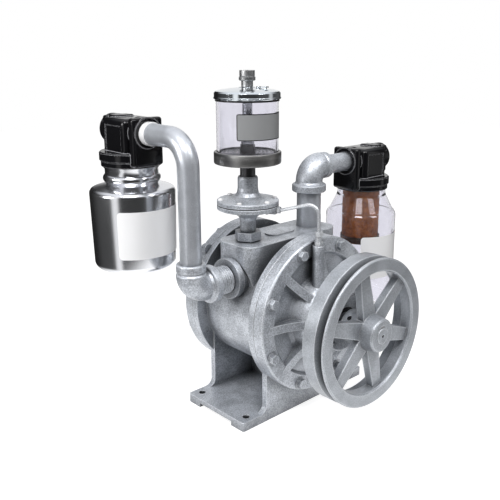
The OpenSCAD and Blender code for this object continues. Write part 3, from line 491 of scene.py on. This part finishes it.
TUBE_ENAMEL = Enamel("tube_enamel", (0.74, 0.76, 0.79), (0.60, 0.62, 0.65), grain=0.8 * MM,
                     grain_depth=0.01 * MM, roughness=0.28, edge=0.5 * MM, flake=0.8 * MM)
FINISHES: dict[Slot, Finish] = {
    Slot.CAST_PAINT: Enamel("cast_enamel"),
    Slot.PIPE_PAINT: Enamel("pipe_enamel", (0.60, 0.625, 0.67), (0.44, 0.46, 0.50),
                            grain=0.9 * MM, grain_depth=0.02 * MM, roughness=0.33,
                            flake=0.9 * MM),
    Slot.ZINC_STEEL: Steel("zinc_plate", (0.60, 0.61, 0.62), 0.30, edge=0.6 * MM),
    Slot.BARE_STEEL: Steel("ground_steel", (0.48, 0.48, 0.49), 0.30, (1.0, 6.0, 1.0)),
    Slot.DARK_STEEL: Steel("blackened_steel", (0.17, 0.17, 0.175), 0.34, stain=0.5,
                           edge=0.8 * MM),
    Slot.CHROME: Steel("chrome_plate", (0.78, 0.83, 0.87), 0.10, depth=0.002 * MM, stain=0.06,
                       edge=0.8 * MM),
    Slot.BLACK_ENAMEL: Gloss("black_gloss"),
    Slot.POLISHED_ALUMINIUM: Steel("polished_aluminium", (0.80, 0.81, 0.84), 0.19,
                                   (9.0, 9.0, 0.5), 0.5 * MM, 0.006 * MM, 0.05),
    Slot.CLEAR_GLASS: Glass("clear_glass"),
    Slot.BROWN_ELEMENT: Matted("brown_fibre", (0.44, 0.135, 0.028), (0.09, 0.023, 0.005)),
    Slot.GREY_ELEMENT: Matted("grey_fibre", (0.30, 0.30, 0.28), (0.12, 0.12, 0.11)),
    Slot.BRASS: Plain("dull_bronze", (0.075, 0.035, 0.016), 0.45),
    Slot.GASKET: Plain("black_rubber", (0.012, 0.012, 0.013), 0.5),
    Slot.GASKET_FIBRE: Plain("painted_gasket_edge", (0.20, 0.205, 0.21), 0.6),
    Slot.VANE_FIBRE: Plain("vane_laminate", (0.20, 0.10, 0.045), 0.45, 0.3),
    Slot.COPPER_TUBE: TUBE_ENAMEL,
}
PULLEY_ENAMEL = Enamel("pulley_enamel", (0.46, 0.485, 0.525), (0.32, 0.34, 0.37),
                       grain=1.2 * MM, grain_depth=0.09 * MM, roughness=0.40, metallic=0.45,
                       edge=2.6 * MM)
FITTING_ENAMEL = Enamel("fitting_enamel", grain=0.8 * MM, grain_depth=0.03 * MM)
THREAD_ENAMEL = Enamel("thread_enamel", grain=0.6 * MM, grain_depth=0.02 * MM, edge=0.4 * MM,
                       painted_shade_reach=5 * MM)
LABEL_FILM = Plain("bare_label_film", (0.90, 0.90, 0.91), 0.35, 0.03, coat=0.2)
PLATE_FACE = Plain("bare_plate_face", (0.25, 0.255, 0.26), 0.4, 0.08)
PLATE_BORDER = Plain("plate_border", (0.02, 0.02, 0.022), 0.4)
PAN_BLACK = Plain("pan_black", (0.035, 0.034, 0.036), 0.25, 0.3, coat=0.3)
RIM_STEEL = Steel("rim_steel", (0.40, 0.395, 0.39), 0.40, stain=0.45, edge=0.8 * MM)
KNURL_PLATE = Steel("knurl_plate", (0.44, 0.445, 0.45), 0.42)

NODE_FINISHES: dict[str, Finish] = {
    "drive_pulley": PULLEY_ENAMEL,
    "rotor_shaft": PULLEY_ENAMEL,
    "valve_tube_fitting": TUBE_ENAMEL,
    "cover_tube_fitting": TUBE_ENAMEL,
    "exhaust_nipple": FITTING_ENAMEL,
    "intake_nipple": FITTING_ENAMEL,
    "hex_bushing": FITTING_ENAMEL,
    "bearing_cap_screws": Enamel("screw_enamel", grain=0.6 * MM, grain_depth=0.01 * MM),
    "oiler_base": Steel("worn_steel", (0.50, 0.495, 0.49), 0.42, stain=0.4, edge=0.8 * MM),
    "oiler_tube": Steel("tube_steel", (0.34, 0.35, 0.37), 0.25),
    "feed_knob": Steel("knob_plate", (0.50, 0.505, 0.51), 0.42, edge=0.5 * MM),
    "valve_screws": Plain("screw_plate", (0.95, 0.95, 0.96), 0.30, coat=0.6),
    "exhaust_ferrule": Plain("ferrule_plate", (0.88, 0.88, 0.89), 0.32, coat=0.5),
}


@dataclass(frozen=True)
class Upright:
    """The upright cylinder that a CAD node fills, read from its box."""

    x: float
    y: float
    low: float
    high: float
    radius: float

    @classmethod
    def of(cls, node: str) -> "Upright":
        """Measure a CAD node by its name."""
        low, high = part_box(node)
        return cls((low.x + high.x) / 2, (low.y + high.y) / 2, low.z, high.z,
                   (high.y - low.y) / 2)


class Bench:
    """The modelling operations that the pieces are made with."""

    body = "pump"
    merge_within = 0.01 * MM
    corner_segments = 6
    strip = 3 * MM
    fewest_strips = 8

    @staticmethod
    def only(piece: Piece) -> None:
        """Select one object and make it the active one."""
        bpy.ops.object.select_all(action="DESELECT")
        piece.select_set(True)
        bpy.context.view_layer.objects.active = piece

    @staticmethod
    @contextmanager
    def editing() -> Iterator[None]:
        """Work in edit mode, and leave it after."""
        bpy.ops.object.mode_set(mode="EDIT")
        try:
            yield
        finally:
            bpy.ops.object.mode_set(mode="OBJECT")

    @staticmethod
    def choose(test: Callable[[Vector, Vector], bool]) -> None:
        """Select faces in edit mode.

        Args:
            test: Takes a face's middle and its normal, and says whether it counts.
        """
        bpy.ops.mesh.select_mode(type="FACE")
        bpy.ops.mesh.select_all(action="DESELECT")
        mesh = bpy.context.edit_object.data
        work = bmesh.from_edit_mesh(mesh)
        for face in work.faces:
            if test(face.calc_center_median(), face.normal):
                face.select_set(True)
        work.select_flush_mode()
        bmesh.update_edit_mesh(mesh)

    def close(self) -> None:
        """Merge doubles and turn all faces of the edited mesh outwards."""
        bpy.ops.mesh.select_all(action="SELECT")
        bpy.ops.mesh.remove_doubles(threshold=self.merge_within)
        bpy.ops.mesh.normals_make_consistent(inside=False)

    @staticmethod
    def modify(piece: Piece, kind: str, **settings: object) -> None:
        """Add a modifier and apply it.

        Args:
            piece: The piece, which is the active object.
            kind: The modifier's type.
            **settings: Its properties.
        """
        made = piece.modifiers.new(kind.lower(), kind)
        for key, value in settings.items():
            setattr(made, key, value)
        bpy.ops.object.modifier_apply(modifier=made.name)

    def turned(self, name: str, profile: Sequence[Pair], segments: int = 64) -> Piece:
        """Turn a closed ring section about the upright axis, loop by loop.

        Args:
            name: The piece's name.
            profile: Radius and height of each loop, counted round the section.
            segments: The number of sides.

        Returns:
            The piece, about the origin.
        """
        radius, height = profile[0]
        bpy.ops.object.select_all(action="DESELECT")
        bpy.ops.mesh.primitive_circle_add(vertices=segments, radius=radius,
                                          location=(0.0, 0.0, height))
        piece = bpy.context.active_object
        piece.name = name
        bpy.ops.object.transform_apply(location=True)
        with self.editing():
            bpy.ops.mesh.select_mode(type="EDGE")
            bpy.ops.mesh.select_all(action="SELECT")
            for next_radius, next_height in [*profile[1:], profile[0]]:
                bpy.ops.mesh.extrude_edges_move(
                    TRANSFORM_OT_translate={"value": (0.0, 0.0, next_height - height)})
                scale = next_radius / radius
                bpy.ops.transform.resize(value=(scale, scale, 1.0),
                                         center_override=(0.0, 0.0, next_height))
                radius, height = next_radius, next_height
            self.close()
        return piece

    def stand(self, piece: Piece, place: Point, turn: Point = (0.0, 0.0, 0.0)) -> None:
        """Turn and move a piece, and put its place into its mesh.

        Args:
            piece: The piece.
            place: Where its origin goes.
            turn: Its turn about X, Y and Z in degrees.
        """
        self.only(piece)
        piece.location = place
        piece.rotation_euler = Euler([math.radians(a) for a in turn])
        bpy.ops.object.transform_apply(location=True, rotation=True, scale=True)

    @staticmethod
    def dress(piece: Piece, *finishes: Finish) -> None:
        """Give a piece one material for each of its material numbers.

        Args:
            piece: The piece. Its list is emptied only where it holds something, because that
                resets its faces' material numbers.
            *finishes: Its finishes, in the order of the material numbers.
        """
        if len(piece.data.materials):
            piece.data.materials.clear()
        for finish in finishes:
            piece.data.materials.append(finish.make())

    def finish(self, piece: Piece, slot: Slot, *finishes: Finish,
               replaces: str = "", smooth: float = 35.0) -> None:
        """Args:
            piece: The piece.
            slot: The record's slot that its finish comes from.
            *finishes: Its finishes, if not the slot's own.
            replaces: The CAD node it stands for, if any.
            smooth: The angle in degrees past which an edge stays sharp.
        """
        self.only(piece)
        bpy.ops.object.shade_smooth_by_angle(angle=math.radians(smooth))
        self.dress(piece, *(finishes or (FINISHES[slot],)))
        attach(piece, self.body)
        if replaces:
            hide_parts(replaces)
        LOG.info("%s: %d faces", piece.name, len(piece.data.polygons))

    def plate(self, name: str, size: Pair, corner: float, border: float, thick: float) -> Piece:
        """Make a flat plate with round corners and a border, facing -Y, ready to be bent.

        Args:
            name: The piece's name.
            size: Its width along X and its height along Z.
            corner: The radius of its corners.
            border: The width of its border; 0 for none.
            thick: Its thickness.

        Returns:
            The plate, with its back in the plane Y = 0.
        """
        width, height = size
        bpy.ops.object.select_all(action="DESELECT")
        bpy.ops.mesh.primitive_plane_add(size=1.0, rotation=(math.pi / 2, 0.0, 0.0))
        piece = bpy.context.active_object
        piece.name = name
        piece.scale = (width, height, 1.0)
        bpy.ops.object.transform_apply(rotation=True, scale=True)
        with self.editing():
            bpy.ops.mesh.select_all(action="SELECT")
            bpy.ops.mesh.bevel(offset=corner, segments=self.corner_segments, affect="VERTICES")
            if border:
                bpy.ops.mesh.select_all(action="SELECT")
                bpy.ops.mesh.inset(thickness=border)
        if border:
            inner = max(piece.data.polygons, key=lambda f: f.area).index
            for face in piece.data.polygons:
                face.material_index = 0 if face.index == inner else 1
        self.only(piece)
        with self.editing():
            strips = max(self.fewest_strips, round(width / self.strip))
            for i in range(1, strips):
                bpy.ops.mesh.select_all(action="SELECT")
                bpy.ops.mesh.bisect(plane_co=(width * (i / strips - 0.5), 0.0, 0.0),
                                    plane_no=(1.0, 0.0, 0.0))
        self.modify(piece, "SOLIDIFY", thickness=thick, offset=1.0)
        with self.editing():
            self.close()
        return piece

    @staticmethod
    def wrap(piece: Piece, radius: float, facing: float, flare: float = 0.0) -> None:
        """Bend a plate round the upright axis and turn it to face a side.

        Args:
            piece: The plate, facing -Y with its back in the plane Y = 0.
            radius: The radius of the surface at the plate's middle.
            facing: The side its middle faces, in degrees from +X towards +Y.
            flare: How much that radius grows per metre of height.
        """
        mesh = piece.data
        for vertex in mesh.vertices:
            angle = math.radians(facing) + vertex.co.x / radius
            out = radius + flare * vertex.co.z - vertex.co.y
            vertex.co = Vector((out * math.cos(angle), out * math.sin(angle), vertex.co.z))
        mesh.update()


@dataclass
class Frame:
    """Dresses the CAD nodes."""

    bench: Bench

    def build(self) -> None:
        """Give every CAD node the finish of its slot, or its own."""
        for part in frame["record"]["subparts"]:
            node = part["node"]
            finish = NODE_FINISHES.get(node, FINISHES[Slot(part["material_slot"])])
            self.bench.dress(frame["nodes"][node], finish)


@dataclass
class Pipework:
    """The thread that shows on the exhaust nipple."""

    bench: Bench
    pitch: float = 4.2 * MM
    rise: float = 1.5 * MM
    root: float = 0.1 * MM
    sunk: float = 0.5 * MM
    crest: Pair = (0.35, 0.6)
    gap: float = 0.5 * MM
    length: float = 27.5 * MM

    def thread(self, radius: float, start: float) -> list[Pair]:
        """Return the section of a run of thread rings.

        Args:
            radius: The pipe's radius.
            start: Where the run starts along the pipe.

        Returns:
            Its loops.
        """
        crest = radius + self.rise
        root = radius + self.root
        inner = radius - self.sunk
        count = round(self.length / self.pitch)
        step = self.length / count
        profile = [(inner, start), (root, start)]
        for i in range(count):
            at = start + i * step
            profile += [(crest, at + share * step) for share in self.crest]
            profile.append((root, at + step))
        profile.append((inner, start + self.length))
        return profile

    def build(self) -> None:
        """Make the exhaust nipple's thread between its elbow and the housing's boss."""
        low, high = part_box("exhaust_nipple")
        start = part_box("exhaust_elbow")[1].x + self.gap
        profile = self.thread((high.z - low.z) / 2, start)
        piece = self.bench.turned("exhaust_nipple_thread", profile)
        self.bench.stand(piece, (0.0, 0.0, (low.z + high.z) / 2), (0.0, 90.0, 0.0))
        self.bench.finish(piece, Slot.ZINC_STEEL, THREAD_ENAMEL)


@dataclass
class Elements:
    """The matted filter elements in the jar and the flask."""

    bench: Bench
    bore: float = 22.3 * MM
    skin: float = 0.7 * MM
    chamfer: float = 1.5 * MM
    steps: int = 34
    sides: int = 120
    crease: float = 80.0
    clump: float = 5 * MM
    clump_depth: float = 1.3 * MM

    def element(self, node: str, name: str, slot: Slot) -> None:
        """Replace one element by a matted one.

        Args:
            node: The CAD node.
            name: The piece's name.
            slot: The record's slot.
        """
        hold = Upright.of(node)
        outer = hold.radius - self.skin
        rise = (hold.high - hold.low) / self.steps
        profile = [(self.bore, hold.low), (outer - self.chamfer, hold.low)]
        profile += [(outer, hold.low + rise * i) for i in range(1, self.steps)]
        profile += [(outer - self.chamfer, hold.high), (self.bore, hold.high)]
        piece = self.bench.turned(name, profile, self.sides)
        self.bench.stand(piece, (hold.x, hold.y, 0.0))
        cloud = bpy.data.textures.new(name + "_clumps", "CLOUDS")
        cloud.noise_scale = self.clump
        cloud.noise_depth = 2
        self.bench.modify(piece, "DISPLACE", texture=cloud, strength=self.clump_depth,
                          mid_level=0.5)
        self.bench.finish(piece, slot, replaces=node, smooth=self.crease)

    def build(self) -> None:
        """Make both elements."""
        self.element("intake_filter", "intake_element", Slot.BROWN_ELEMENT)
        self.element("exhaust_filter", "exhaust_element", Slot.GREY_ELEMENT)


@dataclass(frozen=True)
class Block:
    """A block with rounded edges: its size, its middle and its edges' radius, in millimetres."""

    size: Point
    middle: Point
    edge: float


@dataclass
class Heads:
    """The two black heads, cast from one pattern with its ports along Y."""

    bench: Bench
    height: float = 79.5 * MM
    port: float = 55 * MM
    body: Block = Block((64, 66, 70), (0, 0, 41.5), 9)
    core: Block = Block((42, 84, 62), (0, 0, 41), 4)
    near: Block = Block((56, 14.5, 76), (0, -44, 41), 5)
    far: Block = Block((44, 14, 50), (0, 39, 53), 4)
    hump: Block = Block((36, 24, 9), (0, 24, 74.9), 3.5)
    panel_border: float = 1.6 * MM
    panel_slope: float = 1.2 * MM
    panel_depth: float = 1.3 * MM
    panel_facing: float = 0.99
    edge_segments: int = 5
    ring_sides: int = 56
    collar_sides: int = 80
    crease: float = 28.0

    def block(self, shape: Block) -> Piece:
        """Model a block with rounded edges.

        Args:
            shape: Its sizes.

        Returns:
            The block.
        """
        bpy.ops.object.select_all(action="DESELECT")
        bpy.ops.mesh.primitive_cube_add(size=1.0, location=mm(*shape.middle),
                                        scale=mm(*shape.size))
        piece = bpy.context.active_object
        bpy.ops.object.transform_apply(location=True, scale=True)
        with self.bench.editing():
            bpy.ops.mesh.select_all(action="SELECT")
            bpy.ops.mesh.bevel(offset=shape.edge * MM, segments=self.edge_segments,
                               affect="EDGES")
            self.bench.close()
        return piece

    def panelled(self) -> Piece:
        """Model the main block, its broad sides sunk behind a raised border.

        Returns:
            The block.
        """
        piece = self.block(self.body)
        self.bench.only(piece)
        with self.bench.editing():
            self.bench.choose(lambda middle, normal: abs(normal.x) > self.panel_facing)
            bpy.ops.mesh.inset(use_individual=True, thickness=self.panel_border)
            bpy.ops.mesh.inset(use_individual=True, thickness=self.panel_slope,
                               depth=-self.panel_depth)
        return piece

    def ring(self, side: int) -> Piece:
        """Turn the ring round one port.

        Args:
            side: -1 for the port at -Y, 1 for the port at +Y.

        Returns:
            The ring.
        """
        piece = self.bench.turned("port_ring", section(
            (17.3, 30), (25, 30), (25, 50.6), (23.6, 52), (17.3, 52)),
                                  self.ring_sides)
        self.bench.stand(piece, (0.0, 0.0, self.port), (-90.0 * side, 0.0, 0.0))
        return piece

    def pattern(self) -> Piece:
        """Model one head over its collar's middle.

        Returns:
            The head.
        """
        collar = self.bench.turned("head_pattern", section(
            (44.6, 0.1), (47.2, 0.1), (48.2, 1.1), (48.2, 8.5), (50.4, 10.5), (50.4, 22),
            (48.4, 24), (20, 24), (20, 14), (44.6, 12)), self.collar_sides)
        blocks = [self.panelled()]
        blocks += [self.block(shape) for shape in (self.core, self.near, self.far, self.hump)]
        rings = [self.ring(side) for side in (-1, 1)]
        bpy.ops.object.select_all(action="DESELECT")
        for part in (collar, *blocks, *rings):
            part.select_set(True)
        bpy.context.view_layer.objects.active = collar
        bpy.ops.object.join()
        return collar

    def head(self, piece: Piece, name: str, node: str, turn: float) -> None:
        """Put one head in its place.

        Args:
            piece: The pattern or its copy.
            name: The head's name.
            node: The CAD node that it replaces.
            turn: Its turn about the upright axis in degrees.
        """
        hold = Upright.of(node)
        piece.name = name
        self.bench.stand(piece, (hold.x, hold.y, hold.high - self.height), (0.0, 0.0, turn))
        self.bench.finish(piece, Slot.BLACK_ENAMEL, replaces=node,
                          smooth=self.crease)

    def build(self) -> None:
        """Make both heads."""
        first = self.pattern()
        self.bench.only(first)
        bpy.ops.object.duplicate()
        second = bpy.context.active_object
        self.head(first, "black_exhaust_head", "exhaust_head", 0.0)
        self.head(second, "black_intake_head", "intake_head", -90.0)


@dataclass
class Flask:
    """The polished flask below the exhaust head."""

    bench: Bench
    mouth: float = 12 * MM
    shoulder: float = 9 * MM
    shoulder_drop: float = 43 * MM
    foot: float = 12 * MM
    taper: float = 2.6 * MM
    wall: float = 1.5 * MM
    floor: float = 1.2 * MM
    floor_edge: float = 8 * MM
    floor_below: float = -60 * MM
    bead: float = 7.5 * MM
    arc_steps: int = 8
    sides: int = 128
    crease: float = 40.0

    def side(self, up: float) -> Pair:
        """Measure the tapered side.

        Args:
            up: A height above the foot.

        Returns:
            The radius there, and how much it grows per metre of height.
        """
        hold = Upright.of("exhaust_flask")
        straight = hold.high - self.mouth - self.shoulder_drop - hold.low - self.foot
        flare = self.taper / straight
        return hold.radius - self.taper + flare * (up - self.foot), flare

    def arc(self, middle: Pair, radius: float, start: float, end: float) -> list[Pair]:
        """Return points on an arc of a turned profile.

        Args:
            middle: The arc's middle, as radius and height.
            radius: Its radius.
            start: Its first angle in degrees.
            end: Its last angle.

        Returns:
            The points.
        """
        turns = (start + (end - start) * i / self.arc_steps for i in range(self.arc_steps + 1))
        angles = [math.radians(turn) for turn in turns]
        return [(middle[0] + radius * math.cos(a), middle[1] + radius * math.sin(a))
                for a in angles]

    def build(self) -> None:
        """Turn the flask: neck with a bead, shoulder, slightly tapered side and round foot."""
        hold = Upright.of("exhaust_flask")
        top = hold.high - self.mouth
        low = hold.low - top
        base = hold.radius - self.taper
        outer = section((44.6, 11.9), (44.6, -2), (43, -4), (43, -11))
        outer += self.arc(mm(39, -19), self.bead, 60, -50)
        outer += section((41.5, -29))
        outer += self.arc((hold.radius - self.shoulder, -self.shoulder_drop), self.shoulder,
                          80, 0)
        outer += self.arc((base - self.foot, low + self.foot), self.foot, -4, -90)
        inner = []
        for radius, height in reversed(outer):
            on_floor = radius < base - self.floor_edge and height < self.floor_below
            inner.append((radius - self.wall, height + (self.floor if on_floor else 0.0)))
        middle = 0.5 * MM
        profile = [*outer, (middle, low), (middle, low + self.floor), *inner]
        piece = self.bench.turned("polished_flask", profile, self.sides)
        self.bench.stand(piece, (hold.x, hold.y, top))
        self.bench.finish(piece, Slot.POLISHED_ALUMINIUM, replaces="exhaust_flask",
                          smooth=self.crease)


@dataclass
class Labels:
    """The bare labels on the flask and on the glass jar."""

    bench: Bench
    flask: Flask
    corner: float = 6 * MM
    lift: float = 0.2 * MM
    thick: float = 0.25 * MM
    facing: float = -88.0
    flask_size: Pair = mm(136, 77)
    flask_up: float = 65 * MM
    jar_size: Pair = mm(118, 80)
    jar_up: float = 92 * MM

    def label(self, name: str, slot: Slot, hold: Upright, side: Pair, up: float,
              size: Pair) -> None:
        """Lay a bare label on a bottle.

        Args:
            name: The piece's name.
            slot: The record's slot of the bottle.
            hold: The bottle's cylinder.
            side: The bottle's radius at the label's middle, and its growth per metre of height.
            up: How far the label's middle is above the bottle's foot.
            size: Its width and height.
        """
        radius, flare = side
        piece = self.bench.plate(name, size, self.corner, 0.0, self.thick)
        self.bench.wrap(piece, radius + self.lift, self.facing, flare)
        self.bench.stand(piece, (hold.x, hold.y, hold.low + up))
        self.bench.finish(piece, slot, LABEL_FILM)

    def build(self) -> None:
        """Make both labels."""
        flask, jar = Upright.of("exhaust_flask"), Upright.of("intake_jar")
        self.label("flask_label", Slot.POLISHED_ALUMINIUM, flask, self.flask.side(self.flask_up),
                   self.flask_up, self.flask_size)
        self.label("jar_label", Slot.CLEAR_GLASS, jar, (jar.radius, 0.0), self.jar_up,
                   self.jar_size)


@dataclass
class Oiler:
    """The glass oiler's bare plate, its pan, its rim and its knurled collar."""

    bench: Bench
    plate_size: Pair = mm(96, 40)
    plate_corner: float = 3 * MM
    plate_border: float = 1.5 * MM
    plate_thick: float = 0.4 * MM
    plate_lift: float = 0.1 * MM
    plate_up: float = 2.6 * MM
    plate_facing: float = -95.0
    pan_ridges: tuple[float, ...] = (14, 20, 26, 32, 38)
    pan_lift: float = 0.05 * MM
    rim_gap: float = 0.3 * MM
    rim_down: float = 2.5 * MM
    rim_up: float = 3.6 * MM
    pan_sides: int = 72
    rim_sides: int = 128
    knurls: int = 40
    knurl_upright: float = 0.1
    knurl_crease: float = 20.0

    def build(self) -> None:
        """Make the plate, the pan, the rim and the knurl."""
        self.plate()
        self.pan()
        self.rim()
        self.knurl()

    def plate(self) -> None:
        """Wrap the bare grey plate round the glass."""
        glass = Upright.of("oiler_glass")
        piece = self.bench.plate("oiler_plate", self.plate_size, self.plate_corner,
                                 self.plate_border, self.plate_thick)
        self.bench.wrap(piece, glass.radius + self.plate_lift, self.plate_facing)
        middle = (glass.low + glass.high) / 2 + self.plate_up
        self.bench.stand(piece, (glass.x, glass.y, middle))
        self.bench.finish(piece, Slot.BARE_STEEL, PLATE_FACE, PLATE_BORDER)

    def pan(self) -> None:
        """Turn the ridged pan that lies on the base, inside the glass."""
        glass, base = Upright.of("oiler_glass"), Upright.of("oiler_base")
        profile = section((8.1, 0), (8.1, 15), (10.5, 15), (11.5, 14), (12, 0.9))
        for r in self.pan_ridges:
            profile += section((r, 0.9), (r + 1.5, 2.2), (r + 3.5, 2.2), (r + 4.6, 0.9))
        profile += section((43, 0))
        piece = self.bench.turned("oiler_pan", profile, self.pan_sides)
        self.bench.stand(piece, (glass.x, glass.y, base.high + self.pan_lift))
        self.bench.finish(piece, Slot.DARK_STEEL, PAN_BLACK)

    def rim(self) -> None:
        """Turn the deep rim round the base, which hides the lower seal."""
        glass, base = Upright.of("oiler_glass"), Upright.of("oiler_base")
        inner, outer = glass.radius + self.rim_gap, base.radius
        low, high = base.low - self.rim_down, base.high + self.rim_up
        foot = [(outer - a, low + b) for a, b in section((2.5, 0), (0.7, 0.8), (0, 2.6))]
        lip = [(outer - a, high - b) for a, b in section((0, 1.6), (0.6, 0.4), (1.6, 0))]
        profile = [(inner, low), *foot, *lip, (inner, high)]
        piece = self.bench.turned("oiler_rim", profile, self.rim_sides)
        self.bench.stand(piece, (glass.x, glass.y, 0.0))
        self.bench.finish(piece, Slot.DARK_STEEL, RIM_STEEL)

    def knurl(self) -> None:
        """Raise straight knurls on a collar that replaces the plain one."""
        hold = Upright.of("knob_collar")
        bore, neck, edge, dip, reach, groove = mm(6.1, 9, 0.8, 0.5, 0.3, 0.22)
        wide = hold.radius - dip
        step = hold.low + neck
        piece = self.bench.turned("knurled_collar", [
            (bore, hold.low), (neck, hold.low), (neck, step), (wide - edge, step),
            (wide, step + edge), (wide, hold.high - edge), (wide - edge, hold.high),
            (bore, hold.high)], 2 * self.knurls)
        with self.bench.editing():
            self.bench.choose(lambda middle, normal: abs(normal.z) < self.knurl_upright
                              and middle.xy.length > wide - reach)
            bpy.ops.mesh.inset(use_individual=True, thickness=groove, depth=dip)
        self.bench.stand(piece, (hold.x, hold.y, 0.0))
        self.bench.finish(piece, Slot.ZINC_STEEL, KNURL_PLATE, replaces="knob_collar",
                          smooth=self.knurl_crease)


@dataclass(frozen=True)
class Lamp:
    """One soft square lamp: where it hangs, what it faces, its side and its power in watts."""

    name: str
    place: Point
    aim: Point
    size: float
    power: float

    def hang(self) -> None:
        """Hang the lamp."""
        light = bpy.data.lights.new(self.name, "AREA")
        light.energy = self.power
        light.size = self.size
        made = bpy.data.objects.new(self.name, light)
        bpy.context.scene.collection.objects.link(made)
        made.location = self.place
        way = Vector(self.aim) - Vector(self.place)
        made.rotation_euler = way.to_track_quat("-Z", "Y").to_euler()


@dataclass
class Studio:
    """The floor, the lamps, the surroundings and the camera."""

    eye: Point = (-0.7889, -0.7940, 0.5876)
    yaw: float = 43.63
    pitch: float = 14.63
    lens: float = 49.44
    sensor: float = 36.0
    shift: Pair = (-0.0303, -0.0453)
    lamps: tuple[Lamp, ...] = (
        Lamp("key", (-1.0, -0.7, 2.0), (0.0, 0.0, 0.2), 0.8, 29.0),
        Lamp("side", (-1.9, 0.5, 0.9), (-0.1, 0.0, 0.25), 0.7, 18.0),
        Lamp("fill", (0.3, -1.5, 1.9), (0.0, 0.0, 0.2), 0.7, 14.0),
    )
    floor_side: float = 8.0
    floor_middle: Point = (0.1, 0.1, 0.0)
    floor_glow: float = 0.85
    floor_colour: float = 0.45
    floor_fade: Pair = (0.35, 0.75)
    world_light: float = 0.36
    ceiling: Colour = (0.95, 0.96, 1.0)
    ceiling_rise: Pair = (0.40, 0.85)
    # How bright the studio's walls are to metal, at each share of the way round.
    walls: tuple[Pair, ...] = (
        (0.0, 0.08), (0.03, 0.04), (0.195, 0.05), (0.21, 1.0), (0.245, 1.0), (0.262, 0.06),
        (0.38, 0.06), (0.46, 0.015), (0.565, 0.015), (0.59, 0.9), (0.65, 0.9), (0.67, 0.04),
        (0.76, 0.10), (0.84, 0.06), (0.86, 0.6), (0.885, 0.6), (0.905, 0.08), (1.0, 0.08),
    )

    def build(self) -> None:
        """Set the whole stage."""
        self.camera()
        self.floor()
        self.world()
        for lamp in self.lamps:
            lamp.hang()

    def camera(self) -> None:
        """Place the camera where the photograph was taken from."""
        lens = bpy.data.cameras.new("view")
        lens.lens = self.lens
        lens.sensor_width = self.sensor
        lens.shift_x, lens.shift_y = self.shift
        made = bpy.data.objects.new("view", lens)
        bpy.context.scene.collection.objects.link(made)
        made.location = self.eye
        turn = (90.0 - self.pitch, 0.0, -self.yaw)
        made.rotation_euler = Euler([math.radians(a) for a in turn])
        bpy.context.scene.camera = made

    @staticmethod
    def rays(net: Net) -> list[Val]:
        """Return 1 or 0 for camera rays, for glossy rays and for transmission rays."""
        outputs = net.node("ShaderNodeLightPath").outputs
        return [Val(net, outputs[f"Is {kind} Ray"])
                for kind in ("Camera", "Glossy", "Transmission")]

    def floor(self) -> None:
        """Lay the pale floor, which keeps the object's shadow and fades out in reflections."""
        bpy.ops.object.select_all(action="DESELECT")
        bpy.ops.mesh.primitive_plane_add(size=self.floor_side, location=self.floor_middle)
        piece = bpy.context.active_object
        piece.name = "floor"
        bpy.ops.object.transform_apply(location=True)
        made = bpy.data.materials.new("pale_floor")
        made.use_nodes = True
        net = Net(made.node_tree)
        camera, glossy, through = self.rays(net)
        seen = camera.highest(glossy).highest(through)
        dull = net.node("ShaderNodeBsdfDiffuse", None, {"Color": (self.floor_colour,) * 3})
        glow = net.node("ShaderNodeEmission", None, {"Strength": seen * self.floor_glow})
        total = net.node("ShaderNodeAddShader", None, {0: dull.outputs[0], 1: glow.outputs[0]})
        away = net.value("ShaderNodeVectorMath", {"operation": "LENGTH"}, {0: net.place()},
                         "Value")
        fade = net.rise(away, self.floor_fade, "SMOOTHSTEP")
        clear = net.node("ShaderNodeBsdfTransparent")
        mixed = net.node("ShaderNodeMixShader", None, {
            0: fade * glossy, 1: total.outputs[0], 2: clear.outputs[0]})
        net.node("ShaderNodeOutputMaterial", None, {"Surface": mixed.outputs[0]})
        piece.data.materials.append(made)

    def world(self) -> None:
        """Surround the object by white to the eye, and by a soft studio to metal."""
        made = bpy.data.worlds.new("studio")
        made.use_nodes = True
        bpy.context.scene.world = made
        net = Net(made.node_tree)
        camera, glossy, through = self.rays(net)
        way = net.node("ShaderNodeSeparateXYZ", None, {
            0: net.node("ShaderNodeTexCoord").outputs["Generated"]})
        x, y, z = (Val(net, way.outputs[i]) for i in range(3))
        turn = net.value("ShaderNodeMath", {"operation": "ARCTAN2"}, {0: x, 1: y})
        walls = net.ramp(turn * (0.5 / math.pi) + 0.5, self.walls)
        room = net.blend(net.rise(z, self.ceiling_rise, "SMOOTHSTEP"), walls, self.ceiling)
        metal = net.blend(glossy, (self.world_light,) * 3, room)
        colour = net.blend(camera.highest(through), metal, (1.0, 1.0, 1.0))
        back = net.node("ShaderNodeBackground", None, {"Color": colour, "Strength": 1.0})
        net.node("ShaderNodeOutputWorld", None, {"Surface": back.outputs[0]})


def main() -> None:
    """Build the dressed pump and its studio."""
    logging.basicConfig(level=logging.INFO, format="%(name)s: %(message)s")
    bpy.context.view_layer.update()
    bench = Bench()
    flask = Flask(bench)
    for part in (Frame(bench), Pipework(bench), Elements(bench), Labels(bench, flask),
                 Heads(bench), flask, Oiler(bench), Studio()):
        part.build()
        LOG.info("%s done", type(part).__name__)
    bpy.context.scene.view_settings.view_transform = "Standard"


if __name__ == "__main__":
    main()
